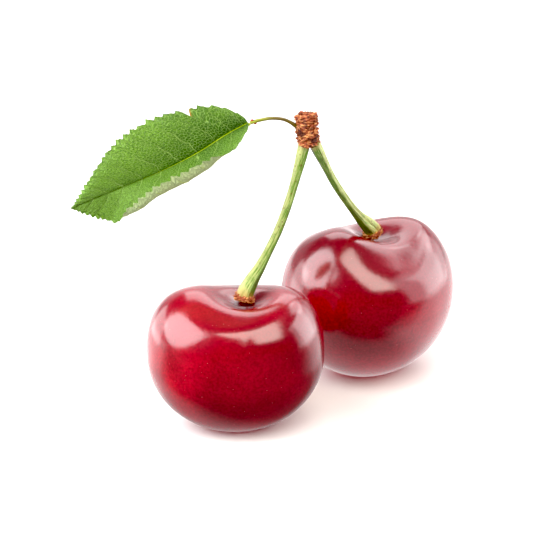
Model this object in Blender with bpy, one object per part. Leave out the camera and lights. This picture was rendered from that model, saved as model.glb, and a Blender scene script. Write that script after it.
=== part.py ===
"""A pair of sweet cherries joined by their stalks to one woody fruiting spur, with the spur's leaf.

Metres, +Z up. The cherries rest on the plane z = 0. The origin lies on the flat spot that the front
cherry rests on. +X runs towards the second cherry's side and the leaf reaches out along -X.
"""

import math
from typing import NamedTuple

import bmesh
import bpy
from mathutils import Matrix, Vector, noise

MM = 0.001
TOUCH_GAP = 0.3 * MM  # left between pieces that meet
ROUTE_STEPS = 400  # fine steps that even lengths are read from


class Fruit(NamedTuple):
    """One cherry: its own x runs from shoulder to shoulder, its own z up the stalk."""

    place: tuple  # where its middle stands, x and y
    seat: float  # height of its widest level over the table
    yaw: float  # degrees, turn of the shoulders about z
    lean: float  # degrees, top towards its own +x
    nod: float  # degrees, top towards its own -y
    width: float  # shoulder to shoulder
    depth: float  # from the seam side to the back
    rise: float  # widest level up to the crown, before the stalk hollow is sunk
    drop: float  # widest level down to the lower tip
    crown_power: float  # 2 is an ellipse, more is squarer
    tip_power: float
    hollow_place: tuple  # centre of the stalk hollow, as shares of the half width
    hollow_depth: float
    hollow_reach: float  # share of the half width
    saddle: float  # how much the rim dips at the seam and at the back
    high_shoulder: float  # how much the +x shoulder stands over the other one
    seam_angle: float  # degrees, direction of the seam side about its own z
    seam_flat: float  # share by which the seam side is flattened
    scar_angle: float  # degrees, direction of the stylar scar from the lower tip


FRONT_FRUIT = Fruit(
    place=(0.0 * MM, 0.0 * MM),
    seat=11.4 * MM,
    yaw=0.0,
    lean=-0.5,
    nod=1.8,
    width=27.1 * MM,
    depth=24.6 * MM,
    rise=11.4 * MM,
    drop=12.1 * MM,
    crown_power=2.7,
    tip_power=2.0,
    hollow_place=(0.10, 0.0),
    hollow_depth=3.8 * MM,
    hollow_reach=0.38,
    saddle=1.7 * MM,
    high_shoulder=0.3 * MM,
    seam_angle=-80.0,
    seam_flat=0.07,
    scar_angle=60.0,
)
REAR_FRUIT = Fruit(
    place=(20.8 * MM, 22.5 * MM),
    seat=13.0 * MM,
    yaw=32.0,
    lean=2.0,
    nod=5.8,
    width=28.4 * MM,
    depth=25.8 * MM,
    rise=13.3 * MM,
    drop=13.9 * MM,
    crown_power=2.2,
    tip_power=1.95,
    hollow_place=(0.07, 0.02),
    hollow_depth=4.6 * MM,
    hollow_reach=0.38,
    saddle=2.1 * MM,
    high_shoulder=1.0 * MM,
    seam_angle=100.0,
    seam_flat=0.06,
    scar_angle=70.0,
)
FRUIT_SEGMENTS = 44
FRUIT_RINGS = 32
SEAM_SPREAD = 0.55  # radians, half width of the flattened side
SEAM_GROOVE_DEPTH = 0.12 * MM
SEAM_GROOVE_SPREAD = 0.07  # radians
RIM_SHARE = 0.52  # where the rim of the hollow stands, as a share of the half width
RIM_SPREAD = 0.34
SCAR_SHARE = 0.34  # distance of the stylar scar from the lower tip, as a share of the half width
SCAR_SPREAD = 0.055
SCAR_DEPTH = 0.35 * MM
CUT_SNAP = 0.01 * MM  # points this close to the table's level count as on it
SHORTEST_EDGE = 0.03 * MM

# Stalks: centre lines from the foot in the cherry up to the spur, and radii along them
FRONT_STALK_ROUTE = (
    (1.35 * MM, 0.10 * MM, 20.35 * MM),
    (1.50 * MM, 0.20 * MM, 21.0 * MM),
    (2.5 * MM, 1.0 * MM, 22.8 * MM),
    (3.9 * MM, 2.0 * MM, 24.9 * MM),
    (6.4 * MM, 3.9 * MM, 29.5 * MM),
    (8.25 * MM, 5.8 * MM, 34.1 * MM),
    (9.7 * MM, 7.6 * MM, 38.8 * MM),
    (10.4 * MM, 8.5 * MM, 41.2 * MM),
)
REAR_STALK_ROUTE = (
    (21.6 * MM, 22.55 * MM, 23.15 * MM),
    (21.35 * MM, 22.3 * MM, 23.8 * MM),
    (20.6 * MM, 21.4 * MM, 24.8 * MM),
    (19.4 * MM, 19.7 * MM, 26.5 * MM),
    (17.95 * MM, 17.4 * MM, 29.0 * MM),
    (16.3 * MM, 14.9 * MM, 32.1 * MM),
    (14.8 * MM, 12.6 * MM, 35.2 * MM),
    (13.25 * MM, 10.2 * MM, 39.0 * MM),
    (12.15 * MM, 8.6 * MM, 41.6 * MM),
)
STALK_SIDES = 14
STALK_RINGS = 26
STALK_WAIST_RADIUS = 0.56 * MM
STALK_HEAD_FLARE = 0.26 * MM
FRONT_FOOT_FLARE = 0.62 * MM
REAR_FOOT_FLARE = 0.7 * MM
FOOT_FLARE_REACH = 0.5  # share of the stalk's length over which the foot narrows
FOOT_FLARE_POWER = 2.4
HEAD_FLARE_START = 0.72  # share of the length
STALK_RIBS = 5
STALK_RIB_SHARE = 0.07
STALK_TWIST = 2.5  # radians, turn of the ribs from foot to head
COLLAR_LENGTH = 0.55 * MM  # the woody collar at the cherry's end
COLLAR_END = 1.35 * MM  # where it has thinned out
COLLAR_RUFF = 0.18 * MM
COLLAR_LUMP = 0.55 * MM  # size of its lumps
COLLAR_RAGGED = 1.2  # their height as a share of the ruff

# Spur: a woody knob ringed with bud scale scars, with a stub for each stalk
SPUR_FOOT = (11.15 * MM, 8.5 * MM, 42.6 * MM)
SPUR_HEAD = (10.65 * MM, 8.5 * MM, 46.9 * MM)
SPUR_RADIUS = 1.68 * MM
SPUR_STUB_RADIUS = 1.02 * MM
SPUR_STUB_LENGTH = 1.3 * MM
SPUR_SIDES = 26
SPUR_RINGS = 24
SPUR_SCARS = 8  # rings of scars along the knob
SPUR_SCAR_DEPTH = 0.17 * MM
SPUR_SCAR_STRAY = (0.35, 0.25)  # how far the rings stray from level, once and twice round, in rings
SPUR_SCAR_DRIFT = 4.0  # radians, turn of the straying from end to end
SPUR_SCAR_PHASE = 1.3  # radians
SPUR_ROUGHNESS = 0.22 * MM
SPUR_LUMP = 0.7 * MM  # size of the lumps of the bark
SPUR_ENDS = ((0, 0.78), (-1, 0.72), (-2, 0.95))  # rings drawn in, with their share of the width
SPUR_STUB_SCARS = 3
SPUR_STUB_SIDES = 16
SPUR_STUB_RINGS = 8

# Leaf stalk, from the spur to the blade, with its two nectar glands
LEAF_STALK_ROUTE = (
    (8.75 * MM, 8.3 * MM, 45.25 * MM),
    (7.50 * MM, 8.0 * MM, 46.05 * MM),
    (5.45 * MM, 7.6 * MM, 46.4 * MM),
    (3.60 * MM, 7.2 * MM, 46.2 * MM),
    (2.45 * MM, 7.0 * MM, 45.95 * MM),
)
LEAF_STALK_RADIUS = 0.33 * MM
LEAF_STALK_SIDES = 10
LEAF_STALK_RINGS = 26
GLAND_HEIGHT = 0.24 * MM
GLAND_SPREAD = 0.26 * MM
GLANDS = ((0.86, 75.0), (0.93, 255.0))  # share of the stalk's length, degrees round it

# Leaf blade, laid out along its midrib from base (0) to tip (1)
MIDRIB_ROUTE = (
    (2.25 * MM, 6.95 * MM, 45.95 * MM),
    (-1.20 * MM, 6.5 * MM, 44.2 * MM),
    (-5.95 * MM, 5.8 * MM, 41.3 * MM),
    (-11.20 * MM, 5.0 * MM, 38.8 * MM),
    (-16.40 * MM, 4.2 * MM, 36.8 * MM),
    (-20.65 * MM, 3.6 * MM, 35.2 * MM),
    (-24.80 * MM, 3.0 * MM, 33.6 * MM),
)
FAR_HALF_WIDTH = 7.6 * MM
NEAR_HALF_WIDTH = 8.0 * MM
FAR_FULLNESS = (0.85, 1.2)  # powers of the outline's arc, at the base and at the tip
NEAR_FULLNESS = (0.85, 1.0)
BLADE_WIDEST = 0.88  # power that sets the widest place towards the base
BLADE_THICKNESS = 0.6 * MM
BLADE_ENDS = (0.012, 0.988)  # first and last row, as shares of the length
BLADE_ROWS = 54  # an even number, two to each tooth
BLADE_COLUMNS = 7
SECTION_STEPS = 10
TOOTH_LENGTH = 0.5 * MM
TOOTH_FADE = 0.4  # power by which the teeth get smaller towards base and tip
VEIN_SWEEP = 0.16  # how far a side vein runs forward, as a share of the blade's length
SWEEP_FADE = 0.8  # power by which it gets less towards base and tip
SWEEP_BEND = 1.4  # power that bends a vein forward on its way out
FIRST_VEIN_ROW = 2
ROWS_A_VEIN = 5
VEIN_PAIRS = 10
MIDRIB_HEIGHT = 0.42 * MM  # ridge under the blade
MIDRIB_TAPER = 0.6  # share of it that is lost at the tip
VEIN_HEIGHT = 0.16 * MM
VEIN_TAPER = 0.7  # share of it that is lost at the margin
FURROW_SHARE = 0.25  # depth of the furrow over a ridge, as a share of the ridge
FAR_HALF_ANGLES = (78.0, 52.0)  # degrees over level, at the midrib and at the margin
NEAR_HALF_BASE = -8.0  # degrees over level, of the near half at the base
NEAR_HALF_MIDDLE = -14.0
NEAR_HALF_TIP = -72.0
NEAR_HALF_SETTLES = (0.0, 0.4)  # shares of the length between which it gets to the middle's slope
NEAR_HALF_HANGS = (0.5, 0.86)  # shares of the length between which it comes to hang
CURLED_SLOPE = 86.0  # degrees over level, of the near margin where it curls up
CURL_GROWS = (0.12, 0.36)  # shares of the length
CURL_FADES = (0.68, 0.83)
CURL_START = 0.6  # share of the half width
NICK_PLACE = 0.27  # a bite in the far margin, share of the length
NICK_SPREAD = 0.01
NICK_DEPTH = 0.7 * MM
PROBE_STEP = 0.01  # step along or across the blade that its slopes are read from

SEED_BARK = Vector((3.1, 7.7, 1.9))
SEED_FRONT_FOOT = Vector((11.3, 2.2, 5.1))
SEED_REAR_FOOT = Vector((4.9, 8.6, 12.4))


def smooth_step(low, high, value):
    share = min(1.0, max(0.0, (value - low) / (high - low)))
    return share * share * (3.0 - 2.0 * share)


def bell(distance, spread):
    return math.exp(-((distance / spread) ** 2))


def angle_between(first, second):
    """Signed difference of two angles, in radians, within half a turn."""
    return (first - second + math.pi) % (2.0 * math.pi) - math.pi


def material(name, colour, roughness, metallic=0.0):
    """A Principled BSDF with the piece's plain finish."""
    made = bpy.data.materials.new(name)
    made.use_nodes = True
    shader = made.node_tree.nodes["Principled BSDF"]
    shader.inputs["Base Color"].default_value = (*colour, 1.0)
    shader.inputs["Roughness"].default_value = roughness
    shader.inputs["Metallic"].default_value = metallic
    made.diffuse_color = (*colour, 1.0)
    return made


def add_object(name, mesh_data, finish, parent, sharp_degrees=40.0):
    """Turns a bmesh into a named, smooth shaded object under the parent."""
    mesh = bpy.data.meshes.new(name)
    bmesh.ops.recalc_face_normals(mesh_data, faces=mesh_data.faces)
    mesh_data.to_mesh(mesh)
    mesh_data.free()
    mesh.shade_smooth()
    mesh.set_sharp_from_angle(angle=math.radians(sharp_degrees))
    mesh.materials.append(finish)
    made = bpy.data.objects.new(name, mesh)
    made.parent = parent
    bpy.context.scene.collection.objects.link(made)
    return made


def smooth_route(points, share):
    """A point at this share of a smooth curve that passes through all the points."""
    spans = len(points) - 1
    place = min(spans - 1e-9, max(0.0, share * spans))
    index = int(place)
    part = place - index
    corner = [Vector(points[min(spans, max(0, index + step))]) for step in (-1, 0, 1, 2)]
    if index == 0:
        corner[0] = 2.0 * corner[1] - corner[2]
    if index == spans - 1:
        corner[3] = 2.0 * corner[2] - corner[1]
    return 0.5 * (
        2.0 * corner[1]
        + (corner[2] - corner[0]) * part
        + (2.0 * corner[0] - 5.0 * corner[1] + 4.0 * corner[2] - corner[3]) * part**2
        + (3.0 * corner[1] - corner[0] - 3.0 * corner[2] + corner[3]) * part**3
    )


def even_centres(points, count):
    """Points at even lengths along a smooth route."""
    fine = [smooth_route(points, index / ROUTE_STEPS) for index in range(ROUTE_STEPS + 1)]
    lengths = [0.0]
    for first, second in zip(fine, fine[1:]):
        lengths.append(lengths[-1] + (second - first).length)
    centres = []
    step = 0
    for index in range(count):
        wanted = lengths[-1] * index / (count - 1)
        while step < ROUTE_STEPS - 1 and lengths[step + 1] < wanted:
            step += 1
        part = (wanted - lengths[step]) / (lengths[step + 1] - lengths[step])
        centres.append(fine[step].lerp(fine[step + 1], part))
    return centres


def route_frames(points, count):
    """Centre, tangent and two side directions at even lengths of a route, turned as little as may be."""
    centres = even_centres(points, count)
    frames = []
    side = None
    for index, centre in enumerate(centres):
        ahead = centres[min(count - 1, index + 1)]
        behind = centres[max(0, index - 1)]
        tangent = (ahead - behind).normalized()
        side = Vector((0.0, 1.0, 0.0)) if side is None else side
        side = (side - tangent * side.dot(tangent)).normalized()
        frames.append((centre, tangent, side, tangent.cross(side)))
    return frames


def frames_length(frames):
    return sum((second[0] - first[0]).length for first, second in zip(frames, frames[1:]))


def loft(rings):
    """A closed body through rings of as many points each, with a flat cap on both ends."""
    body = bmesh.new()
    loops = [[body.verts.new(point) for point in ring] for ring in rings]
    for lower, upper in zip(loops, loops[1:]):
        for index, vertex in enumerate(lower):
            following = (index + 1) % len(lower)
            body.faces.new((vertex, lower[following], upper[following], upper[index]))
    body.faces.new(reversed(loops[0]))
    body.faces.new(loops[-1])
    return body


def tube_rings(frames, sides, radius_at):
    """Rings of points round a route; radius_at takes the share along it, the angle and the point."""
    rings = []
    for index, (centre, _, side, other) in enumerate(frames):
        share = index / (len(frames) - 1)
        ring = []
        for step in range(sides):
            turn = 2.0 * math.pi * step / sides
            outward = side * math.cos(turn) + other * math.sin(turn)
            ring.append(centre + outward * radius_at(share, turn, centre + outward * MM))
        rings.append(ring)
    return rings


def fruit_surface(fruit, direction):
    """The cherry's skin in the direction of a unit vector from its middle, in its own frame."""
    turn = math.atan2(direction.y, direction.x)
    across = math.hypot(direction.x, direction.y)
    up = direction.z
    power = fruit.crown_power if up > 0.0 else fruit.tip_power
    reach = (across**power + abs(up) ** power) ** (-1.0 / power)
    share = across * reach
    height = up * reach * (fruit.rise if up > 0.0 else fruit.drop)

    seam = math.radians(fruit.seam_angle)
    flatten = fruit.seam_flat * bell(angle_between(turn, seam), SEAM_SPREAD)
    half_width = fruit.width / 2.0 * (1.0 - flatten * share)
    half_depth = fruit.depth / 2.0 * (1.0 - flatten * share)
    groove = SEAM_GROOVE_DEPTH * share * bell(angle_between(turn, seam), SEAM_GROOVE_SPREAD)
    x = (half_width * share - groove) * math.cos(turn)
    y = (half_depth * share - groove) * math.sin(turn)

    if up > 0.0:
        from_hollow = math.hypot(
            share * math.cos(turn) - fruit.hollow_place[0],
            share * math.sin(turn) - fruit.hollow_place[1],
        )
        height -= fruit.hollow_depth * bell(from_hollow, fruit.hollow_reach)
        rim = bell(share - RIM_SHARE, RIM_SPREAD) * share / RIM_SHARE
        height -= fruit.saddle * math.sin(turn) ** 2 * rim
        height += fruit.high_shoulder / 2.0 * math.cos(turn) * rim
    else:
        scar = math.radians(fruit.scar_angle)
        from_scar = math.hypot(
            share * math.cos(turn) - SCAR_SHARE * math.cos(scar),
            share * math.sin(turn) - SCAR_SHARE * math.sin(scar),
        )
        height += SCAR_DEPTH * bell(from_scar, SCAR_SPREAD)
    return Vector((x, y, height))


def fruit_turn(fruit):
    """How the cherry is turned: its nod and lean first, then its yaw."""
    return (
        Matrix.Rotation(math.radians(fruit.yaw), 4, "Z")
        @ Matrix.Rotation(math.radians(fruit.lean), 4, "Y")
        @ Matrix.Rotation(math.radians(fruit.nod), 4, "X")
    )


def build_fruit(name, fruit, finish, parent):
    """One cherry in one piece, pressed flat where it rests on the table."""
    body = bmesh.new()
    bmesh.ops.create_uvsphere(body, u_segments=FRUIT_SEGMENTS, v_segments=FRUIT_RINGS, radius=1.0)
    for vertex in body.verts:
        vertex.co = fruit_surface(fruit, vertex.co.normalized())
    placing = Matrix.Translation((0.0, 0.0, fruit.seat)) @ fruit_turn(fruit)
    bmesh.ops.transform(body, matrix=placing, verts=body.verts)
    bmesh.ops.bisect_plane(
        body,
        geom=[*body.verts, *body.edges, *body.faces],
        dist=CUT_SNAP,
        plane_co=(0.0, 0.0, 0.0),
        plane_no=(0.0, 0.0, -1.0),
        clear_outer=True,
    )
    bmesh.ops.remove_doubles(body, verts=body.verts, dist=SHORTEST_EDGE)
    open_edges = [edge for edge in body.edges if edge.is_boundary]
    bmesh.ops.holes_fill(body, edges=open_edges, sides=0)
    made = add_object(name, body, finish, parent)
    made.location = (*fruit.place, 0.0)
    return made


def stalk_radius(share, turn, point, length, foot_flare, seed):
    """Radius of a stalk: flared at both ends, ribbed, with a ragged woody collar at the foot."""
    radius = STALK_WAIST_RADIUS
    radius += foot_flare * (1.0 - smooth_step(0.0, FOOT_FLARE_REACH, share)) ** FOOT_FLARE_POWER
    radius += STALK_HEAD_FLARE * smooth_step(HEAD_FLARE_START, 1.0, share)
    radius *= 1.0 + STALK_RIB_SHARE * math.cos(STALK_RIBS * turn + STALK_TWIST * share)
    collar = 1.0 - smooth_step(COLLAR_LENGTH, COLLAR_END, share * length)
    ragged = noise.noise(point / COLLAR_LUMP + seed)
    return radius + collar * COLLAR_RUFF * (1.0 + COLLAR_RAGGED * ragged)


def build_stalk(name, route, foot_flare, seed, finish, parent):
    """A cherry stalk, from its woody foot in the hollow to the spur."""
    frames = route_frames(route, STALK_RINGS)
    length = frames_length(frames)

    def radius_at(share, turn, point):
        return stalk_radius(share, turn, point, length, foot_flare, seed)

    return add_object(name, loft(tube_rings(frames, STALK_SIDES, radius_at)), finish, parent)


def bark_radius(radius, scars):
    """Radius of a woody piece: rings of scale scars, roughened all over."""

    def at(share, turn, point):
        once, twice = SPUR_SCAR_STRAY
        stray = once * math.sin(turn + SPUR_SCAR_DRIFT * share)
        stray += twice * math.sin(2.0 * turn + SPUR_SCAR_PHASE)
        ring = math.sin(math.pi * (scars * share + stray)) ** 2
        rough = noise.noise(point / SPUR_LUMP + SEED_BARK)
        return radius - SPUR_SCAR_DEPTH * (1.0 - ring) + SPUR_ROUGHNESS * rough

    return at


def woody_body(start, end, radius, scars, rings_count, sides):
    """A closed rough cylinder from start to end, its end rings drawn in so that the edges are soft."""
    middle = Vector(start).lerp(Vector(end), 0.5)
    frames = route_frames((start, middle, end), rings_count)
    rings = tube_rings(frames, sides, bark_radius(radius, scars))
    for index, share in SPUR_ENDS:
        centre = frames[index][0]
        rings[index] = [centre.lerp(point, share) for point in rings[index]]
    return loft(rings)


def join_by_union(target, others):
    """Makes one solid of the target and the others, which are then removed."""
    group = bpy.data.collections.new("joined")
    bpy.context.scene.collection.children.link(group)
    for other in others:
        bpy.context.scene.collection.objects.unlink(other)
        group.objects.link(other)
    union = target.modifiers.new("union", "BOOLEAN")
    union.operation = "UNION"
    union.operand_type = "COLLECTION"
    union.collection = group
    bpy.context.view_layer.update()
    graph = bpy.context.evaluated_depsgraph_get()
    joined = bpy.data.meshes.new_from_object(target.evaluated_get(graph))
    target.modifiers.remove(union)
    target.data = joined
    for other in others:
        bpy.data.objects.remove(other)
    bpy.data.collections.remove(group)


def build_spur(finish, parent):
    """The woody spur: one ringed knob with a stub that each stalk hangs from."""
    knob = add_object(
        "spur",
        woody_body(SPUR_FOOT, SPUR_HEAD, SPUR_RADIUS, SPUR_SCARS, SPUR_RINGS, SPUR_SIDES),
        finish,
        parent,
    )
    stubs = []
    for route in (FRONT_STALK_ROUTE, REAR_STALK_ROUTE):
        head = Vector(route[-1])
        direction = (head - Vector(route[-2])).normalized()
        start = head + direction * TOUCH_GAP
        end = start + direction * (SPUR_STUB_LENGTH + SPUR_RADIUS)
        stub = woody_body(start, end, SPUR_STUB_RADIUS, SPUR_STUB_SCARS, SPUR_STUB_RINGS, SPUR_STUB_SIDES)
        stubs.append(add_object("stub", stub, finish, parent))
    join_by_union(knob, stubs)
    return knob


def build_leaf_stalk(finish, parent):
    """The leaf stalk, with two nectar glands raised on it close to the blade."""
    frames = route_frames(LEAF_STALK_ROUTE, LEAF_STALK_RINGS)
    length = frames_length(frames)

    def radius_at(share, turn, _):
        radius = LEAF_STALK_RADIUS
        for place, degrees in GLANDS:
            along = (share - place) * length
            around = angle_between(turn, math.radians(degrees)) * LEAF_STALK_RADIUS
            radius += GLAND_HEIGHT * bell(math.hypot(along, around), GLAND_SPREAD)
        return radius

    return add_object("leaf_stalk", loft(tube_rings(frames, LEAF_STALK_SIDES, radius_at)), finish, parent)


def blade_half_width(along, side):
    """Width of one half of the blade at this share of its length, teeth left out."""
    arc = math.sin(math.pi * min(1.0, max(0.0, along)) ** BLADE_WIDEST)
    base, tip = FAR_FULLNESS if side > 0 else NEAR_FULLNESS
    full = FAR_HALF_WIDTH if side > 0 else NEAR_HALF_WIDTH
    return full * max(0.0, arc) ** (base + (tip - base) * along)


def half_angles(along, side):
    """Slopes over level of one half of the blade, at the midrib and at the margin, in radians."""
    if side > 0:
        return tuple(math.radians(angle) for angle in FAR_HALF_ANGLES)
    slope = NEAR_HALF_BASE + (NEAR_HALF_MIDDLE - NEAR_HALF_BASE) * smooth_step(*NEAR_HALF_SETTLES, along)
    slope += (NEAR_HALF_TIP - slope) * smooth_step(*NEAR_HALF_HANGS, along)
    curl = smooth_step(*CURL_GROWS, along) * (1.0 - smooth_step(*CURL_FADES, along))
    return math.radians(slope), math.radians(slope + (CURLED_SLOPE - slope) * curl)


def blade_section(along, side, reach):
    """How far out and up a half of the blade gets when one goes this far from the midrib."""
    first, last = half_angles(along, side)
    width = max(blade_half_width(along, side), 1e-6)
    out = up = 0.0
    for index in range(SECTION_STEPS):
        part = (index + 0.5) / SECTION_STEPS * reach / width
        bend = smooth_step(CURL_START, 1.0, part) if side < 0 else part
        slope = first + (last - first) * bend
        out += math.cos(slope) * reach / SECTION_STEPS
        up += math.sin(slope) * reach / SECTION_STEPS
    return out, up


def midrib_frame(along):
    """Point on the midrib, with the level direction across it and the one over it."""
    ahead = smooth_route(MIDRIB_ROUTE, along + PROBE_STEP)
    behind = smooth_route(MIDRIB_ROUTE, along - PROBE_STEP)
    tangent = (ahead - behind).normalized()
    across = Vector((0.0, 0.0, 1.0)).cross(tangent).normalized()
    if across.y < 0.0:
        across = -across
    over = across.cross(tangent)
    if over.z < 0.0:
        over = -over
    return smooth_route(MIDRIB_ROUTE, along), across, over


def blade_point(start, side, share, tooth=0.0):
    """A point of the blade: start is where its row leaves the midrib, share how far out it lies."""
    sweep = VEIN_SWEEP * math.sin(math.pi * start) ** SWEEP_FADE
    along = start + sweep * share**SWEEP_BEND
    margin = start + sweep
    width = blade_half_width(margin, side) + tooth
    if side > 0:
        width -= NICK_DEPTH * bell(margin - NICK_PLACE, NICK_SPREAD)
    centre, across, over = midrib_frame(along)
    out, up = blade_section(along, side, max(0.0, width) * share)
    return centre + across * (side * out) + over * up


def blade_normal(start, side, share):
    """Upper side's direction at a point of the blade."""
    low, high = max(0.0, start - PROBE_STEP), min(1.0, start + PROBE_STEP)
    forward = blade_point(high, side, share) - blade_point(low, side, share)
    near, far = max(0.0, share - PROBE_STEP), min(1.0, share + PROBE_STEP)
    outward = blade_point(start, side, far) - blade_point(start, side, near)
    return (outward.cross(forward) * side).normalized()


def blade_row(index):
    """One row of points over the blade from its near margin to its far one, upper and under side."""
    first, last = BLADE_ENDS
    start = first + (last - first) * index / BLADE_ROWS
    tooth = TOOTH_LENGTH * math.sin(math.pi * start) ** TOOTH_FADE if index % 2 else 0.0
    vein, rows_from_vein = divmod(index - FIRST_VEIN_ROW, ROWS_A_VEIN)
    on_vein = rows_from_vein == 0 and 0 <= vein < VEIN_PAIRS
    upper, under = [], []
    for column in range(-BLADE_COLUMNS, BLADE_COLUMNS + 1):
        side = 1 if column >= 0 else -1
        share = abs(column) / BLADE_COLUMNS
        point = blade_point(start, side, share, tooth if share == 1.0 else 0.0)
        normal = blade_normal(start, side, share)
        if column == 0:
            normal = (blade_normal(start, 1, 0.0) + blade_normal(start, -1, 0.0)).normalized()
        ridge = MIDRIB_HEIGHT * (1.0 - MIDRIB_TAPER * start) if column == 0 else 0.0
        if on_vein and 0.0 < share < 1.0:
            ridge = VEIN_HEIGHT * (1.0 - VEIN_TAPER * share)
        upper.append(point + normal * (BLADE_THICKNESS / 2.0 - FURROW_SHARE * ridge))
        under.append(point - normal * (BLADE_THICKNESS / 2.0 + ridge))
    return upper, under


def build_leaf_blade(finish, parent):
    """The leaf blade: a thin toothed sheet folded along its midrib, with veins raised underneath."""
    body = bmesh.new()
    rows = []
    for index in range(BLADE_ROWS + 1):
        upper, under = blade_row(index)
        rows.append(([body.verts.new(p) for p in upper], [body.verts.new(p) for p in under]))

    def cover(a, b, c, d):
        """Two triangles, split the same way on both sides of the sheet."""
        body.faces.new((a, b, c))
        body.faces.new((a, c, d))

    for (upper, under), (next_upper, next_under) in zip(rows, rows[1:]):
        for column in range(2 * BLADE_COLUMNS):
            cover(upper[column], upper[column + 1], next_upper[column + 1], next_upper[column])
            cover(under[column], under[column + 1], next_under[column + 1], next_under[column])
        cover(upper[0], next_upper[0], next_under[0], under[0])
        cover(upper[-1], next_upper[-1], next_under[-1], under[-1])
    for upper, under in (rows[0], rows[-1]):
        for column in range(2 * BLADE_COLUMNS):
            cover(upper[column], upper[column + 1], under[column + 1], under[column])
    return add_object("leaf_blade", body, finish, parent, sharp_degrees=55.0)


def main():
    for old in list(bpy.data.objects):
        bpy.data.objects.remove(old)
    pair = bpy.data.objects.new("cherry_pair", None)
    bpy.context.scene.collection.objects.link(pair)

    skin = material("cherry_skin", (0.42, 0.004, 0.015), 0.18)
    green_stalk = material("green_stalk", (0.42, 0.52, 0.14), 0.45)
    bark = material("spur_bark", (0.50, 0.20, 0.08), 0.8)
    olive_stalk = material("leaf_stalk", (0.30, 0.24, 0.05), 0.5)
    blade = material("leaf_green", (0.10, 0.24, 0.02), 0.45)

    build_fruit("cherry_front", FRONT_FRUIT, skin, pair)
    build_fruit("cherry_rear", REAR_FRUIT, skin, pair)
    build_stalk("stalk_front", FRONT_STALK_ROUTE, FRONT_FOOT_FLARE, SEED_FRONT_FOOT, green_stalk, pair)
    build_stalk("stalk_rear", REAR_STALK_ROUTE, REAR_FOOT_FLARE, SEED_REAR_FOOT, green_stalk, pair)
    build_spur(bark, pair)
    build_leaf_stalk(olive_stalk, pair)
    build_leaf_blade(blade, pair)


main()
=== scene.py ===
"""Looks of a pair of sweet cherries on one woody spur, with the spur's leaf, in a plain pale studio.

Metres, +Z up, in the frame of the solids: every piece is made where its solid stands and stands for it.
"""

import math
from typing import NamedTuple

import bmesh
import bpy
from bpy.props import FloatProperty, FloatVectorProperty, IntProperty, PointerProperty
from mathutils import Matrix, Vector, noise


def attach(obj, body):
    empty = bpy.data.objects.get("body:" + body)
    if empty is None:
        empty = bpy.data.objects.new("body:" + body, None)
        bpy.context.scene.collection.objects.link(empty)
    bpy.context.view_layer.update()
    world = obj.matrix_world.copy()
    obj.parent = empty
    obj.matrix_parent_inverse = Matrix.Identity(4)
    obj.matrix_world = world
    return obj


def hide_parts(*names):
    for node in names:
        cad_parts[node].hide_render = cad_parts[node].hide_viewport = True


bl_info = {
    "name": "Cherry Pair",
    "version": (1, 0, 0),
    "blender": (4, 5, 0),
    "location": "View3D > Sidebar > Cherries",
    "description": "Makes two sweet cherries on their spur with its leaf, and a plain studio for them",
    "category": "Object",
}

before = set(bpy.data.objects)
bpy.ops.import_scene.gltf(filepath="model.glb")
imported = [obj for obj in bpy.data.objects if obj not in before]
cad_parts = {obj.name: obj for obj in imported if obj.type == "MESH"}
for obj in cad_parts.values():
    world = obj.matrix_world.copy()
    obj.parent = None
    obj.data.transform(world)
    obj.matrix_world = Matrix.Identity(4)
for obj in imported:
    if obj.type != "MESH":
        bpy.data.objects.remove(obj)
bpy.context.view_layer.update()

MM = 0.001
ROUTE_STEPS = 400  # fine steps that even lengths are read from
PATH_POINTS = 120
BODY = "root"
BLACK = (0.0, 0.0, 0.0)
WHITE = (1.0, 1.0, 1.0)


def in_mm(*numbers):
    """These millimetres in metres."""
    return tuple(number * MM for number in numbers)


class Fruit(NamedTuple):
    """One cherry: its own x runs from shoulder to shoulder, its own z up the stalk."""

    place: tuple  # where its middle stands, x and y
    seat: float  # height of its widest level over the table
    yaw: float  # degrees, turn of the shoulders about z
    lean: float  # degrees, top towards its own +x
    nod: float  # degrees, top towards its own -y
    width: float  # shoulder to shoulder
    depth: float  # from the seam side to the back
    rise: float  # widest level up to the crown, before the stalk hollow is sunk
    drop: float  # widest level down to the lower tip
    crown_power: float  # 2 is an ellipse, more is squarer
    tip_power: float
    hollow_place: tuple  # centre of the stalk hollow, as shares of the half width
    hollow_depth: float
    hollow_reach: float  # share of the half width
    saddle: float  # how much the rim dips at the seam and at the back
    high_shoulder: float  # how much the +x shoulder stands over the other one
    seam_angle: float  # degrees, direction of the seam side about its own z
    seam_flat: float  # share by which the seam side is flattened
    scar_angle: float  # degrees, direction of the stylar scar from the lower tip


FRONT_FRUIT = Fruit(
    place=in_mm(0.0, 0.0),
    seat=11.4 * MM,
    yaw=0.0,
    lean=-0.5,
    nod=1.8,
    width=27.1 * MM,
    depth=24.6 * MM,
    rise=11.4 * MM,
    drop=12.1 * MM,
    crown_power=2.7,
    tip_power=2.0,
    hollow_place=(0.10, 0.0),
    hollow_depth=3.8 * MM,
    hollow_reach=0.38,
    saddle=1.7 * MM,
    high_shoulder=0.3 * MM,
    seam_angle=-80.0,
    seam_flat=0.07,
    scar_angle=60.0,
)
REAR_FRUIT = Fruit(
    place=in_mm(20.8, 22.5),
    seat=13.0 * MM,
    yaw=32.0,
    lean=2.0,
    nod=5.8,
    width=28.4 * MM,
    depth=25.8 * MM,
    rise=13.3 * MM,
    drop=13.9 * MM,
    crown_power=2.2,
    tip_power=1.95,
    hollow_place=(0.07, 0.02),
    hollow_depth=4.6 * MM,
    hollow_reach=0.38,
    saddle=2.1 * MM,
    high_shoulder=1.0 * MM,
    seam_angle=100.0,
    seam_flat=0.06,
    scar_angle=70.0,
)
SEAM_SPREAD = 0.55  # radians, half width of the flattened side
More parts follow.
